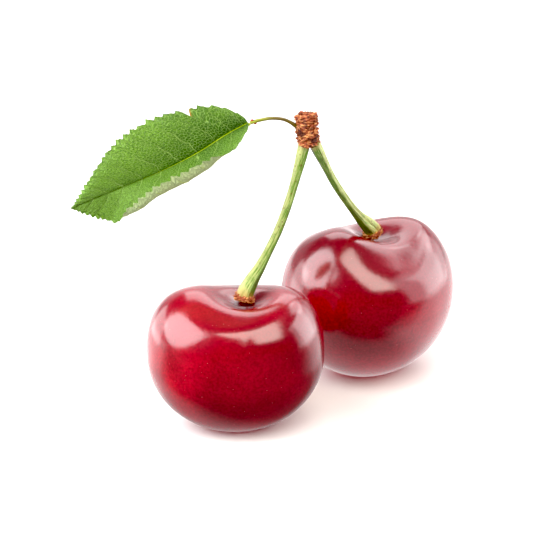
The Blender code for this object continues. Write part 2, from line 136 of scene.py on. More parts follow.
SEAM_GROOVE_DEPTH = 0.05 * MM
SEAM_GROOVE_SPREAD = 0.07  # radians
RIM_SHARE = 0.52  # where the rim of the hollow stands, as a share of the half width
RIM_SPREAD = 0.34
SCAR_SHARE = 0.34  # distance of the stylar scar from the lower tip, as a share of the half width
SCAR_SPREAD = 0.055
SCAR_DEPTH = 0.35 * MM
SKIN_WAVE = 0.035 * MM  # slow unevenness of the skin
SKIN_WAVE_SIZE = 3.2 * MM
PAINTED_SHADE_SIDE = (0.66, -0.5, -0.56)  # direction of each cherry's side that gets painted shade

FRONT_STALK_ROUTE = (
    in_mm(1.35, 0.10, 20.05),
    in_mm(1.50, 0.20, 21.0),
    in_mm(2.5, 1.0, 22.8),
    in_mm(3.9, 2.0, 24.9),
    in_mm(6.4, 3.9, 29.5),
    in_mm(8.25, 5.8, 34.1),
    in_mm(9.7, 7.6, 38.8),
    in_mm(10.5, 8.5, 42.0),
)
REAR_STALK_ROUTE = (
    in_mm(21.7, 22.65, 22.8),
    in_mm(21.35, 22.3, 23.8),
    in_mm(20.6, 21.4, 24.8),
    in_mm(19.4, 19.7, 26.5),
    in_mm(17.95, 17.4, 29.0),
    in_mm(16.3, 14.9, 32.1),
    in_mm(14.8, 12.6, 35.2),
    in_mm(13.25, 10.2, 39.0),
    in_mm(11.95, 8.4, 42.2),
)
COLLAR_SIDES = 40
COLLAR_ROWS = 7
COLLAR_AXIS_POINT = 6  # point of the path that the collar leans towards

SPUR_FOOT = in_mm(11.15, 8.5, 41.95)
SPUR_HEAD = in_mm(10.65, 8.5, 46.75)
SPUR_RADIUS = 1.62 * MM
SPUR_SIDES = 120
SPUR_RINGS = 130
SPUR_SCARS = 9.0  # stacked scars from foot to head
SCAR_LIP = 0.86  # share of a scar's height at which its lip stands out most
LIP_POWER = 1.6  # more makes the lip sharper
SPUR_PIT = (0.19, -90.0)  # share of its length and degrees round it
SPUR_PIT_DEPTH = 0.45 * MM
SPUR_PIT_SPREAD = 0.28 * MM
SPUR_BUD = in_mm(9.95, 8.3, 47.0)  # a dry bud left on its head

LEAF_STALK_ROUTE = (
    in_mm(9.35, 8.35, 44.9),
    in_mm(7.50, 8.0, 46.05),
    in_mm(5.45, 7.6, 46.4),
    in_mm(3.60, 7.2, 46.2),
    in_mm(2.25, 6.95, 45.9),
)
GLANDS = ((0.86, 75.0), (0.93, 255.0))  # share of the stalk's length, degrees round it

MIDRIB_ROUTE = (
    in_mm(2.25, 6.95, 45.95),
    in_mm(-1.20, 6.5, 44.2),
    in_mm(-5.95, 5.8, 41.3),
    in_mm(-11.20, 5.0, 38.8),
    in_mm(-16.40, 4.2, 36.8),
    in_mm(-20.65, 3.6, 35.2),
    in_mm(-24.80, 3.0, 33.6),
)
BLADE_LENGTH = 31.0 * MM
FAR_HALF_WIDTH = 7.6 * MM
NEAR_HALF_WIDTH = 8.0 * MM
FAR_FULLNESS = (0.85, 1.2)  # powers of the outline's arc, at the base and at the tip
NEAR_FULLNESS = (0.85, 1.0)
BLADE_WIDEST = 0.88  # power that sets the widest place towards the base
BLADE_THICKNESS = 0.24 * MM
BLADE_ENDS = (0.012, 0.988)  # first and last row, as shares of the length
SECTION_STEPS = 10
TEETH = 27
ROWS_A_TOOTH = 12
BLADE_COLUMNS = 24
TOOTH_LENGTH = 0.78 * MM
TOOTH_FADE = 0.4  # power by which the teeth get smaller towards base and tip
TOOTH_POINT = 0.78  # share of a tooth's length at which its point stands
VEIN_SWEEP = 0.16  # how far a side vein runs forward, as a share of the blade's length
SWEEP_FADE = 0.8  # power by which it gets less towards base and tip
SWEEP_BEND = 1.4  # power that bends a vein forward on its way out
VEIN_PAIRS = 10
FIRST_VEIN = 0.048
VEIN_STEP = 0.0904
FAR_HALF_ANGLES = (78.0, 52.0)  # degrees over level, at the midrib and at the margin
NEAR_HALF_BASE = -8.0  # degrees over level, of the near half at the base
NEAR_HALF_MIDDLE = -14.0
NEAR_HALF_TIP = -72.0
NEAR_HALF_SETTLES = (0.0, 0.4)  # shares of the length between which it gets to the middle's slope
NEAR_HALF_HANGS = (0.5, 0.86)  # shares of the length between which it comes to hang
CURLED_SLOPE = 86.0  # degrees over level, of the near margin where it curls up
CURL_GROWS = (0.12, 0.36)  # shares of the length
CURL_FADES = (0.68, 0.83)
CURL_START = 0.6  # share of the half width
NICK_PLACE = 0.27  # a bite in the far margin, share of the length
NICK_SPREAD = 0.011
NICK_DEPTH = 1.9 * MM
PROBE_STEP = 0.01  # step along or across the blade that its slopes are read from

# The camera: 20 degrees over level, looking along +Y
CAMERA_PLACE = in_mm(4.729, -399.607, 170.824)
CAMERA_RISE = 20.0  # degrees
CAMERA_LENS = 190.4  # millimetres
CAMERA_FILM = 36.0  # millimetres wide
CAMERA_RANGE = (0.01, 10.0)  # metres

# The floor is lit from this level on towards the back, and further forward round the front cherry
LIT_EDGE = 4.0 * MM
LIT_BULGE_PLACE = -8.0 * MM
LIT_BULGE_DEPTH = 14.5 * MM
LIT_BULGE_WIDTH = 19.0 * MM
LIT_MIDDLE = 9.0 * MM  # to the sides of this place it gets brighter
LIT_FLOOR = 1.25  # its brightness
FRONT_FILL = 0.14  # brightness of the dim side of the room
LIGHTS_AIM = in_mm(8.0, 8.0, 14.0)
FLOOR_REACH = 1.5  # half its side, in metres
BLACK_LEVEL = 0.022  # light that the picture shows as black


def smooth_step(low, high, value):
    share = min(1.0, max(0.0, (value - low) / (high - low)))
    return share * share * (3.0 - 2.0 * share)


def bell(distance, spread):
    return math.exp(-((distance / spread) ** 2))


def angle_between(first, second):
    """Signed difference of two angles, in radians, within half a turn."""
    return (first - second + math.pi) % (2.0 * math.pi) - math.pi


def round_axis(up, turn):
    """Unit vector square to an axis, at this angle round it."""
    side = Vector((0.0, 1.0, 0.0)).cross(up).normalized()
    return side * math.cos(turn) + up.cross(side) * math.sin(turn)


def smooth_route(points, share):
    """A point at this share of a smooth curve that passes through all the points."""
    spans = len(points) - 1
    place = min(spans - 1e-9, max(0.0, share * spans))
    index = int(place)
    part = place - index
    before, first, second, after = (
        Vector(points[min(spans, max(0, index + step))]) for step in (-1, 0, 1, 2)
    )
    if index == 0:
        before = 2.0 * first - second
    if index == spans - 1:
        after = 2.0 * second - first
    return 0.5 * (
        2.0 * first
        + (second - before) * part
        + (2.0 * before - 5.0 * first + 4.0 * second - after) * part**2
        + (3.0 * first - before - 3.0 * second + after) * part**3
    )


def even_centres(points, count):
    """Points at even lengths along a smooth route."""
    fine = [smooth_route(points, index / ROUTE_STEPS) for index in range(ROUTE_STEPS + 1)]
    lengths = [0.0]
    for first, second in zip(fine, fine[1:]):
        lengths.append(lengths[-1] + (second - first).length)
    centres = []
    step = 0
    for index in range(count):
        wanted = lengths[-1] * index / (count - 1)
        while step < ROUTE_STEPS - 1 and lengths[step + 1] < wanted:
            step += 1
        part = (wanted - lengths[step]) / (lengths[step + 1] - lengths[step])
        centres.append(fine[step].lerp(fine[step + 1], part))
    return centres


# Making nodes


class Value:
    """One output of a node; arithmetic with it adds Math nodes to its tree."""

    def __init__(self, tree, socket):
        self.tree = tree
        self.socket = socket

    def out(self, key):
        """Another output of the same node."""
        return Value(self.tree, self.socket.node.outputs[key])

    def math(self, operation, *others):
        return make(self.tree, "ShaderNodeMath", dict(enumerate((self, *others))), operation=operation)

    def __add__(self, other):
        return self.math("ADD", other)

    def __sub__(self, other):
        return self.math("SUBTRACT", other)

    def __rsub__(self, other):
        return self.math("MULTIPLY_ADD", -1.0, other)

    def __mul__(self, other):
        return self.math("MULTIPLY", other)

    def __truediv__(self, other):
        return self.math("DIVIDE", other)

    def __pow__(self, other):
        return self.math("POWER", other)

    def vector(self, operation, other, out=0):
        """Vector arithmetic with another vector, or with a number where the operation is SCALE."""
        second = "Scale" if operation == "SCALE" else 1
        return make(self.tree, "ShaderNodeVectorMath", {0: self, second: other}, out, operation=operation)

    def step(self, low, high, to_low=0.0, to_high=1.0):
        """This value taken smoothly from one range to another."""
        ranges = {"Value": self, "From Min": low, "From Max": high, "To Min": to_low, "To Max": to_high}
        return make(self.tree, "ShaderNodeMapRange", ranges, interpolation_type="SMOOTHSTEP")


def feed(value, socket):
    """Gives a socket what it takes: a link from a node's output, a colour, or any plain value."""
    if isinstance(value, Value):
        value.tree.links.new(value.socket, socket)
    elif socket.type == "RGBA":
        socket.default_value = (*value[:3], 1.0)
    else:
        socket.default_value = value


def make(tree, kind, inputs=None, out=0, **settings):
    """Adds a node with its settings and inputs, and gives one of its outputs."""
    node = tree.nodes.new(kind)
    for name, value in settings.items():
        setattr(node, name, value)
    for key, value in (inputs or {}).items():
        feed(value, node.inputs[key])
    return Value(tree, node.outputs[out])


def combine(*parts):
    """A vector from three values."""
    return make(parts[0].tree, "ShaderNodeCombineXYZ", dict(enumerate(parts)))


def mix(share, first, second):
    """Colour that goes from the first to the second as the share goes from 0 to 1."""
    return make(share.tree, "ShaderNodeMix", {0: share, 6: first, 7: second}, 2, data_type="RGBA")


def layered(tone, *layers):
    """A tone with other colours laid over it in turn, each by its share."""
    for share, colour_over in layers:
        tone = mix(share, tone, colour_over)
    return tone


def unevenness(vector, scale, detail):
    inputs = {"Vector": vector, "Scale": scale, "Detail": detail}
    return make(vector.tree, "ShaderNodeTexNoise", inputs, "Fac")


def attribute(tree, name):
    return make(tree, "ShaderNodeAttribute", out="Fac", attribute_name=name)


def new_tree(name, kind, inputs, output):
    """A node tree, its inputs by name, and its output node; inputs give a default or a socket's kind."""
    tree = bpy.data.node_groups.new(name, kind)
    for label, default in inputs.items():
        plain = {float: "NodeSocketFloat", int: "NodeSocketInt"}.get(type(default))
        socket = tree.interface.new_socket(label, in_out="INPUT", socket_type=plain or default)
        if plain:
            socket.default_value = default
    tree.interface.new_socket(output[0], in_out="OUTPUT", socket_type=output[1])
    source = tree.nodes.new("NodeGroupInput")
    values = {socket.name: Value(tree, socket) for socket in source.outputs if socket.name}
    return tree, values, tree.nodes.new("NodeGroupOutput")


def shared(name, build):
    """A node tree that is built at its first use."""
    return bpy.data.node_groups.get(name) or build(name)


def new_mask(name, inputs):
    """A shader group that puts out one mask over the surface."""
    inputs = {"Vector": "NodeSocketVector", **inputs}
    return new_tree(name, "ShaderNodeTree", inputs, ("Mask", "NodeSocketFloat"))


def patches_group(name):
    """Soft patches: 0 to 1 over the surface, of one size, from one threshold to another."""
    tree, value, target = new_mask(name, {"Scale": 200.0, "Detail": 3.0, "Low": 0.35, "High": 0.65})
    texture = unevenness(value["Vector"], value["Scale"], value["Detail"])
    feed(texture.step(value["Low"], value["High"]), target.inputs["Mask"])
    return tree


def specks_group(name):
    """Small round specks, about one in each cell of the scale."""
    tree, value, target = new_mask(name, {"Scale": 900.0, "Size": 0.12})
    inputs = {"Vector": value["Vector"], "Scale": value["Scale"]}
    distance = make(tree, "ShaderNodeTexVoronoi", inputs, "Distance")
    chance = make(tree, "ShaderNodeSeparateColor", {"Color": distance.out("Color")})
    size = value["Size"] * chance
    feed(distance.step(size, size * 0.4), target.inputs["Mask"])
    return tree


def patches(vector, scale, low, high, detail):
    """Mask of soft patches: a higher scale makes them smaller, low and high are its thresholds."""
    inputs = {"Vector": vector, "Scale": scale, "Low": low, "High": high, "Detail": detail}
    return make(vector.tree, "ShaderNodeGroup", inputs, node_tree=shared("soft_patches", patches_group))


def specks(vector, scale, size):
    """Mask of small specks; their size is a share of the distance between them."""
    inputs = {"Vector": vector, "Scale": scale, "Size": size}
    return make(vector.tree, "ShaderNodeGroup", inputs, node_tree=shared("small_specks", specks_group))


def new_material(name, roughness, ior=1.45, **constants):
    """A material, its tree, its Principled shader with these constants, and Object coordinates."""
    made = bpy.data.materials.new(name)
    made.use_nodes = True
    tree = made.node_tree
    shader = tree.nodes["Principled BSDF"]
    for label, number in {"Roughness": roughness, "IOR": ior, **constants}.items():
        shader.inputs[label.replace("_", " ")].default_value = number
    return made, tree, shader, make(tree, "ShaderNodeTexCoord", out="Object")


def paint(shader, tone, height, distance):
    """Links a tone to the shader's colour, and a height through a Bump node to its normal."""
    feed(tone, shader.inputs["Base Color"])
    bump = make(tone.tree, "ShaderNodeBump", {"Height": height, "Distance": distance, "Strength": 1.0})
    feed(bump, shader.inputs["Normal"])


def blotched_material(name, roughness, tone, darker, scale):
    """One tone with soft darker blotches in it."""
    made, tree, shader, place = new_material(name, roughness)
    blotch = patches(place, scale, 0.35, 0.65, 2.0)
    paint(shader, mix(blotch, tone * darker, tone), blotch, 0.01 * MM)
    return made


# Making pieces


def piece_from_mesh(name, mesh, node=None):
    """A finished piece: it rides on the body and stands for its solid."""
    piece = bpy.data.objects.new(name, mesh)
    bpy.context.scene.collection.objects.link(piece)
    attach(piece, BODY)
    if node:
        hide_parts(node)


def mesh_from_bmesh(name, body, materials, sharp_degrees=60.0):
    mesh = bpy.data.meshes.new(name)
    bmesh.ops.recalc_face_normals(body, faces=body.faces)
    body.to_mesh(mesh)
    body.free()
    mesh.shade_smooth()
    mesh.set_sharp_from_angle(angle=math.radians(sharp_degrees))
    for finish in materials:
        mesh.materials.append(finish)
    return mesh


def loft(rings):
    """A closed body through rings of as many points each, with a fan on both ends."""
    body = bmesh.new()
    loops = [[body.verts.new(point) for point in ring] for ring in rings]
    for lower, upper in zip(loops, loops[1:]):
        for index, vertex in enumerate(lower):
            following = (index + 1) % len(lower)
            body.faces.new((vertex, lower[following], upper[following], upper[index]))
    for loop in (loops[0], loops[-1]):
        middle = body.verts.new(sum((vertex.co for vertex in loop), Vector()) / len(loop))
        for index, vertex in enumerate(loop):
            body.faces.new((vertex, loop[(index + 1) % len(loop)], middle))
    return body


def evaluated_mesh(name, start_mesh, tree, values):
    """The plain mesh that a Geometry Nodes tree makes of a start mesh, with these named inputs."""
    holder = bpy.data.objects.new(name, start_mesh)
    bpy.context.scene.collection.objects.link(holder)
    modifier = holder.modifiers.new("nodes", "NODES")
    modifier.node_group = tree
    for item in tree.interface.items_tree:
        if item.in_out == "INPUT" and item.name in values:
            modifier[item.identifier] = values[item.name]
    bpy.context.view_layer.update()
    graph = bpy.context.evaluated_depsgraph_get()
    mesh = bpy.data.meshes.new_from_object(holder.evaluated_get(graph))
    mesh.name = name
    bpy.data.objects.remove(holder)
    return mesh


def path_mesh(name, lines, thickness=()):
    """Loose edges along each line of points; thickness gives a number for each point."""
    mesh = bpy.data.meshes.new(name)
    points, edges = [], []
    for line in lines:
        start = len(points)
        points.extend(tuple(point) for point in line)
        edges.extend((start + index, start + index + 1) for index in range(len(line) - 1))
    mesh.from_pydata(points, edges, [])
    if thickness:
        values = [value for line in thickness for value in line]
        mesh.attributes.new("thick", "FLOAT", "POINT").data.foreach_set("value", values)
    return mesh


def new_geometry_tree(name, inputs):
    inputs = {"Geometry": "NodeSocketGeometry", **inputs, "Material": "NodeSocketMaterial"}
    return new_tree(name, "GeometryNodeTree", inputs, ("Geometry", "NodeSocketGeometry"))


def finish_tree(geometry, material, target):
    """The end of every tree: smooth faces, real instances, and the material."""
    for kind in ("SetShadeSmooth", "RealizeInstances"):
        geometry = make(geometry.tree, "GeometryNode" + kind, {"Geometry": geometry})
    inputs = {"Geometry": geometry, "Material": material}
    feed(make(geometry.tree, "GeometryNodeSetMaterial", inputs), target.inputs[0])


def capture(geometry, value):
    """Keeps a field's values on the geometry; gives the new geometry and the kept values."""
    node = geometry.tree.nodes.new("GeometryNodeCaptureAttribute")
    node.capture_items.new("FLOAT", "Value")
    feed(geometry, node.inputs[0])
    feed(value, node.inputs[1])
    return Value(geometry.tree, node.outputs[0]), Value(geometry.tree, node.outputs[1])


def store(geometry, name, value, domain="POINT"):
    """Writes a field to the geometry as an attribute that a material can read."""
    inputs = {"Geometry": geometry, "Name": name, "Value": value}
    kind = "GeometryNodeStoreNamedAttribute"
    return make(geometry.tree, kind, inputs, data_type="FLOAT", domain=domain)


def moved(geometry, key, vector):
    """A geometry with its points' Position or Offset set."""
    return make(geometry.tree, "GeometryNodeSetPosition", {"Geometry": geometry, key: vector})


def circle(sides):
    inputs = {"Resolution": sides, "Radius": 1.0}
    return make(sides.tree, "GeometryNodeCurvePrimitiveCircle", inputs)


def sweep(curve, profile, radius):
    inputs = {"Curve": curve, "Profile Curve": profile, "Scale": radius, "Fill Caps": True}
    return make(curve.tree, "GeometryNodeCurveToMesh", inputs)


def tube_tree(name):
    """A tube along a path: flared at foot and head, ribbed along its length, slightly rough."""
    tree, value, target = new_geometry_tree(
        name,
        {
            "Rings": 160,
            "Sides": 48,
            "Waist radius": 0.56 * MM,
            "Foot flare": 0.6 * MM,
            "Foot reach": 0.5,
            "Foot power": 2.4,
            "Head flare": 0.26 * MM,
            "Head start": 0.72,
            "Ribs": 5.0,
            "Rib height": 0.07,
            "Painted lit side": "NodeSocketVector",
            "Twist": 0.5,
            "Unevenness": 0.03 * MM,
            "Seed": 0.0,
        },
    )
    curve = make(tree, "GeometryNodeMeshToCurve", {"Mesh": value["Geometry"]})
    curve = make(tree, "GeometryNodeResampleCurve", {"Curve": curve, "Count": value["Rings"]})
    curve, along = capture(curve, make(tree, "GeometryNodeSplineParameter"))
    curve = make(tree, "GeometryNodeSetCurveTilt", {"Curve": curve, "Tilt": along * value["Twist"]})
    foot = (1.0 - along.step(0.0, value["Foot reach"])) ** value["Foot power"]
    head = along.step(value["Head start"], 1.0)
    radius = foot * value["Foot flare"] + value["Waist radius"] + head * value["Head flare"]

    profile, turn_share = capture(circle(value["Sides"]), make(tree, "GeometryNodeSplineParameter"))
    turn = turn_share * math.tau
    wave = (turn * value["Ribs"]).math("COSINE") + (turn * 13.0).math("COSINE") * 0.3
    size = wave * value["Rib height"] + 1.0
    place = make(tree, "GeometryNodeInputPosition")
    tube = sweep(curve, moved(profile, "Position", place.vector("SCALE", size)), radius)

    inputs = {"W": value["Seed"], "Scale": 1100.0, "Detail": 2.0}
    rough = make(tree, "ShaderNodeTexNoise", inputs, "Fac", noise_dimensions="4D")
    normal = make(tree, "GeometryNodeInputNormal")
    offset = normal.vector("SCALE", (rough - 0.5) * value["Unevenness"] * 2.0)
    tube = store(moved(tube, "Offset", offset), "along", along)
    tube = store(tube, "round", turn_share)
    # How much each point faces the given side, kept for the painted light and shade on the stalk.
    tube = store(tube, "painted_side_light", normal.vector("DOT_PRODUCT", value["Painted lit side"], "Value"))
    finish_tree(tube, value["Material"], target)
    return tree


def flakes_tree(name):
    """Small woody lumps scattered over a surface, lying along the rings round a level axis."""
    sizes = {"Spacing": 0.3 * MM, "Density": 6.0e6, "Long": 0.42 * MM, "Wide": 0.2 * MM, "High": 0.13 * MM}
    tree, value, target = new_geometry_tree(name, {**sizes, "Tilt": 0.35, "Seed": 3})
    inputs = {
        "Mesh": value["Geometry"],
        "Distance Min": value["Spacing"],
        "Density Max": value["Density"],
        "Seed": value["Seed"],
    }
    points = make(tree, "GeometryNodeDistributePointsOnFaces", inputs, distribute_method="POISSON")
    normal = points.out("Normal")
    align = "FunctionNodeAlignRotationToVector"
    upright = make(tree, align, {"Vector": normal}, axis="Z")
    inputs = {"Rotation": upright, "Vector": normal.vector("CROSS_PRODUCT", (0.0, 0.0, -1.0))}
    turned = make(tree, align, inputs, axis="X", pivot_axis="Z")

    def random_vector(least, most, seed):
        inputs = {0: least, 1: most, "Seed": seed}
        return make(tree, "FunctionNodeRandomValue", inputs, data_type="FLOAT_VECTOR")

    tilt = value["Tilt"]
    wobble = random_vector(combine(*[tilt * -1.0] * 3), combine(*[tilt] * 3), value["Seed"])
    inputs = {"Rotation": turned, "Rotate By": make(tree, "FunctionNodeEulerToRotation", {0: wobble})}
    rotation = make(tree, "FunctionNodeRotateRotation", inputs, rotation_space="LOCAL")
    share = random_vector((0.55, 0.6, 0.5), (1.3, 1.25, 1.4), value["Seed"] + 7.0)
    size = combine(value["Long"], value["Wide"], value["High"]).vector("MULTIPLY", share)
    bend = make(tree, "ShaderNodeTexNoise", {"Scale": 1.4, "Detail": 1.0}, "Color")
    bend = bend.vector("SUBTRACT", (0.5, 0.5, 0.5)).vector("SCALE", 0.9)
    lump = make(tree, "GeometryNodeMeshIcoSphere", {"Radius": 1.0, "Subdivisions": 2})
    lump = moved(lump, "Offset", bend)
    inputs = {"Points": points, "Instance": lump, "Rotation": rotation, "Scale": size}
    flakes = make(tree, "GeometryNodeInstanceOnPoints", inputs)
    shade = make(tree, "FunctionNodeRandomValue", out=1, data_type="FLOAT")
    finish_tree(store(flakes, "shade", shade, "INSTANCE"), value["Material"], target)
    return tree


def veins_tree(name):
    """Fine ridges along lines, each as thick as the number kept at its points."""
    tree, value, target = new_geometry_tree(name, {"Radius": 0.1 * MM, "Sides": 8})
    curve = make(tree, "GeometryNodeMeshToCurve", {"Mesh": value["Geometry"]})
    thick = make(tree, "GeometryNodeInputNamedAttribute", {"Name": "thick"}, data_type="FLOAT")
    ridges = sweep(curve, circle(value["Sides"]), thick * value["Radius"])
    finish_tree(ridges, value["Material"], target)
    return tree


def scatter_flakes(name, mesh, bark, spacing, density, size, tilt, seed):
    """A piece of woody flakes over a mesh; spacing and size are in millimetres."""
    values = {
        "Spacing": spacing * MM,
        "Density": density,
        "Tilt": tilt,
        "Seed": seed,
        "Material": bark,
        **dict(zip(("Long", "Wide", "High"), in_mm(*size))),
    }
    flakes = evaluated_mesh(name, mesh.copy(), shared("woody_flakes", flakes_tree), values)
    piece_from_mesh(name, flakes)


# Sizes and colours that a user would change


def colour(label, text, default):
    limits = {"min": 0.0, "max": 1.0, "size": 3}
    return FloatVectorProperty(name=label, description=text, default=default, subtype="COLOR", **limits)


def length(label, text, default):
    units = {"unit": "LENGTH", "subtype": "DISTANCE", "min": 0.0}
    return FloatProperty(name=label, description=text, default=default, **units)


def share_of_one(label, text, default):
    return FloatProperty(name=label, description=text, default=default, min=0.0, max=1.0)


class FruitSettings(bpy.types.PropertyGroup):
    front_colour: colour("Front colour", "Skin of the front cherry, at its reddest", (0.6, 0.001, 0.022))
    front_deep: colour("Front deep colour", "Darker patches of the front cherry", (0.3, 0.0006, 0.011))
    rear_colour: colour("Rear colour", "Skin of the rear cherry", (0.42, 0.001, 0.018))
    rear_deep: colour("Rear deep colour", "Darker patches of the rear cherry", (0.24, 0.0006, 0.010))
    # Strength of the painted shade that darkens the skin round the crown.
    shoulder: share_of_one("Shoulder shade", "How dark the skin is round the crown", 0.62)
    speck_colour: colour("Speck colour", "Fine pale dots of the skin", (0.75, 0.22, 0.2))
    roughness: share_of_one("Roughness", "How blurred the skin's gloss is", 0.19)
    segments: IntProperty(name="Segments", description="Faces round a cherry", default=256, min=32)
    rings: IntProperty(name="Rings", description="Faces from crown to tip", default=170, min=16)


class StalkSettings(bpy.types.PropertyGroup):
    waist: length("Waist radius", "Radius of a cherry stalk at its thinnest", 0.64 * MM)
    head_flare: length("Head flare", "Growth of the radius at the spur", 0.26 * MM)
    front_flare: length("Front foot flare", "Growth of the front stalk's radius at its foot", 0.62 * MM)
    rear_flare: length("Rear foot flare", "Growth of the rear stalk's radius at its foot", 0.68 * MM)
    # Pale green is the painted light on the stalks' lit side, and also the colour of their pale ridges.
    pale: colour("Pale green", "Painted lit side and ridges of the stalks", (0.5, 0.56, 0.2))
    green: colour("Green", "Furrows of the stalks", (0.12, 0.25, 0.02))
    # Deep green is painted shade on the stalks' other side.
    deep: colour("Deep green", "The stalks' darker side", (0.035, 0.05, 0.006))
    brown: colour("Fleck colour", "Brown flecks on the stalks", (0.14, 0.06, 0.015))


class SpurSettings(bpy.types.PropertyGroup):
    bark: colour("Bark", "Orange-brown of the spur", (0.3, 0.072, 0.028))
    # Light bark is partly painted highlight on the lighter lumps.
    light: colour("Light bark", "Worn edges of the scars", (0.72, 0.33, 0.12))
    # Dark bark is the painted shade of the crevices.
    dark: colour("Dark bark", "Crevices of the spur", (0.04, 0.008, 0.012))


class LeafSettings(bpy.types.PropertyGroup):
    upper: colour("Upper side", "Green of the leaf's upper side", (0.112, 0.24, 0.019))
    # Dark green is also the painted shade along the midrib and towards the base.
    dark: colour("Dark green", "Cells between the fine veins", (0.02, 0.072, 0.003))
    under: colour("Underside", "Pale green under the leaf", (0.46, 0.57, 0.27))
    vein: colour("Veins", "Side veins", (0.22, 0.36, 0.08))
    midrib: colour("Midrib", "Midrib of the leaf", (0.42, 0.56, 0.03))
    stalk: colour("Leaf stalk", "Olive brown of the leaf stalk", (0.12, 0.085, 0.01))
    stalk_green: colour("Leaf stalk green", "Its greener end, at the blade", (0.3, 0.34, 0.03))
    gland: colour("Glands", "Red nectar glands", (0.4, 0.03, 0.015))


class StageSettings(bpy.types.PropertyGroup):
    floor: colour("Floor", "Pale floor under the cherries", (0.9, 0.9, 0.9))
    light: FloatProperty(name="Light", description="Strength of all studio lights", default=1.0, min=0.0)


# The two cherries


def fruit_surface(fruit, direction):
    """The cherry's skin in the direction of a unit vector from its middle, in its own frame."""
    turn = math.atan2(direction.y, direction.x)
    across = math.hypot(direction.x, direction.y)
    up = direction.z
    power = fruit.crown_power if up > 0.0 else fruit.tip_power
    reach = (across**power + abs(up) ** power) ** (-1.0 / power)
    share = across * reach
    height = up * reach * (fruit.rise if up > 0.0 else fruit.drop)

    def from_place(place):
        return math.hypot(share * math.cos(turn) - place[0], share * math.sin(turn) - place[1])

    from_seam = angle_between(turn, math.radians(fruit.seam_angle))
    full = 1.0 - fruit.seam_flat * bell(from_seam, SEAM_SPREAD) * share
    groove = SEAM_GROOVE_DEPTH * share * bell(from_seam, SEAM_GROOVE_SPREAD)
    x = (fruit.width / 2.0 * full * share - groove) * math.cos(turn)
    y = (fruit.depth / 2.0 * full * share - groove) * math.sin(turn)

    if up > 0.0:
        from_hollow = from_place(fruit.hollow_place)
        height -= fruit.hollow_depth * bell(from_hollow, fruit.hollow_reach)
        rim = bell(share - RIM_SHARE, RIM_SPREAD) * share / RIM_SHARE
        height -= fruit.saddle * math.sin(turn) ** 2 * rim
        height += fruit.high_shoulder / 2.0 * math.cos(turn) * rim
    else:
        from_hollow = 1.0
        scar = math.radians(fruit.scar_angle)
        from_scar = from_place((SCAR_SHARE * math.cos(scar), SCAR_SHARE * math.sin(scar)))
        height += SCAR_DEPTH * bell(from_scar, SCAR_SPREAD)
    return Vector((x, y, height)), from_hollow


def fruit_placing(fruit):
    """How the cherry is turned and placed: its nod and lean first, then its yaw."""
    placing = Matrix.Translation((*fruit.place, fruit.seat))
    for degrees, axis in ((fruit.yaw, "Z"), (fruit.lean, "Y"), (fruit.nod, "X")):
        placing = placing @ Matrix.Rotation(math.radians(degrees), 4, axis)
    return placing


def fruit_mesh(name, fruit, segments, rings, finish):
    """The cherry's skin in fine faces, pressed flat where it rests on the table."""
    body = bmesh.new()
    hollow = body.verts.layers.float.new("hollow")
    level = body.verts.layers.float.new("level")
    bmesh.ops.create_uvsphere(body, u_segments=segments, v_segments=rings, radius=1.0)
    placing = fruit_placing(fruit)
    for vertex in body.verts:
        direction = vertex.co.normalized()
        point, from_hollow = fruit_surface(fruit, direction)
        wave = noise.noise(point / SKIN_WAVE_SIZE + Vector((fruit.yaw, 0.0, 0.0)))
        point += direction * SKIN_WAVE * wave
        vertex[hollow] = from_hollow
        vertex[level] = direction.z
        vertex.co = placing @ point
        vertex.co.z = max(0.0, vertex.co.z)
    return mesh_from_bmesh(name, body, (finish,))


def skin_material(name, settings, fruit, ripe, deep, shade, seed):
    """Glossy cherry skin: deep patches, flesh grain, pale specks; painted shade at crown, low band, one
    side, hollow.
    """
    made, tree, shader, here = new_material(
        name, settings.roughness, ior=1.75, Subsurface_Weight=0.12, Subsurface_Scale=1.6 * MM
    )
    shader.inputs["Subsurface Radius"].default_value = (1.0, 0.12, 0.08)
    place = here.vector("ADD", (seed, 0.0, 0.0))
    broad = patches(place, 95.0, 0.3, 0.72, 2.0)
    grain = patches(place, 2600.0, 0.25, 0.75, 2.0)
    uneven = broad * 0.16 - 0.08
    level = attribute(tree, "level") + uneven
    # Painted shade: a darker band below the middle of the fruit that fades again at the bottom; shade sets
    # its strength.
    lower = level.step(0.05, -0.4, 0.0, 0.6 * shade) * level.step(-0.4, -0.75, 1.0, 0.0)
    # Painted shade: the skin is darkened towards one lower side, as if that side were in shadow.
    from_middle = here.vector("SUBTRACT", (*fruit.place, fruit.seat))
    painted_side_shade = from_middle.vector("DOT_PRODUCT", PAINTED_SHADE_SIDE, "Value") * (2.0 / fruit.width) + uneven
    tone = layered(
        mix(broad, deep, ripe),
        ((1.0 - grain) * 0.38, BLACK),
        # Painted shade: the skin is darkened round the crown, by height on the fruit.
        (level.step(0.15, 0.62, 0.0, settings.shoulder), (0.13, 0.001, 0.01)),
        (painted_side_shade.step(0.05, 0.75, 0.0, shade), (0.1, 0.001, 0.008)),
        (lower, (0.07, 0.0006, 0.006)),
        # Painted shade in the stalk hollow.
        (attribute(tree, "hollow").step(0.42, 0.08, 0.0, 0.55), (0.1, 0.003, 0.01)),
        (specks(place, 1250.0, 0.12) * 0.3, settings.speck_colour),
    )
    feed(grain * 0.05 + (settings.roughness - 0.025), shader.inputs["Roughness"])
    paint(shader, tone, unevenness(place, 1500.0, 3.0), 0.012 * MM)
    return made


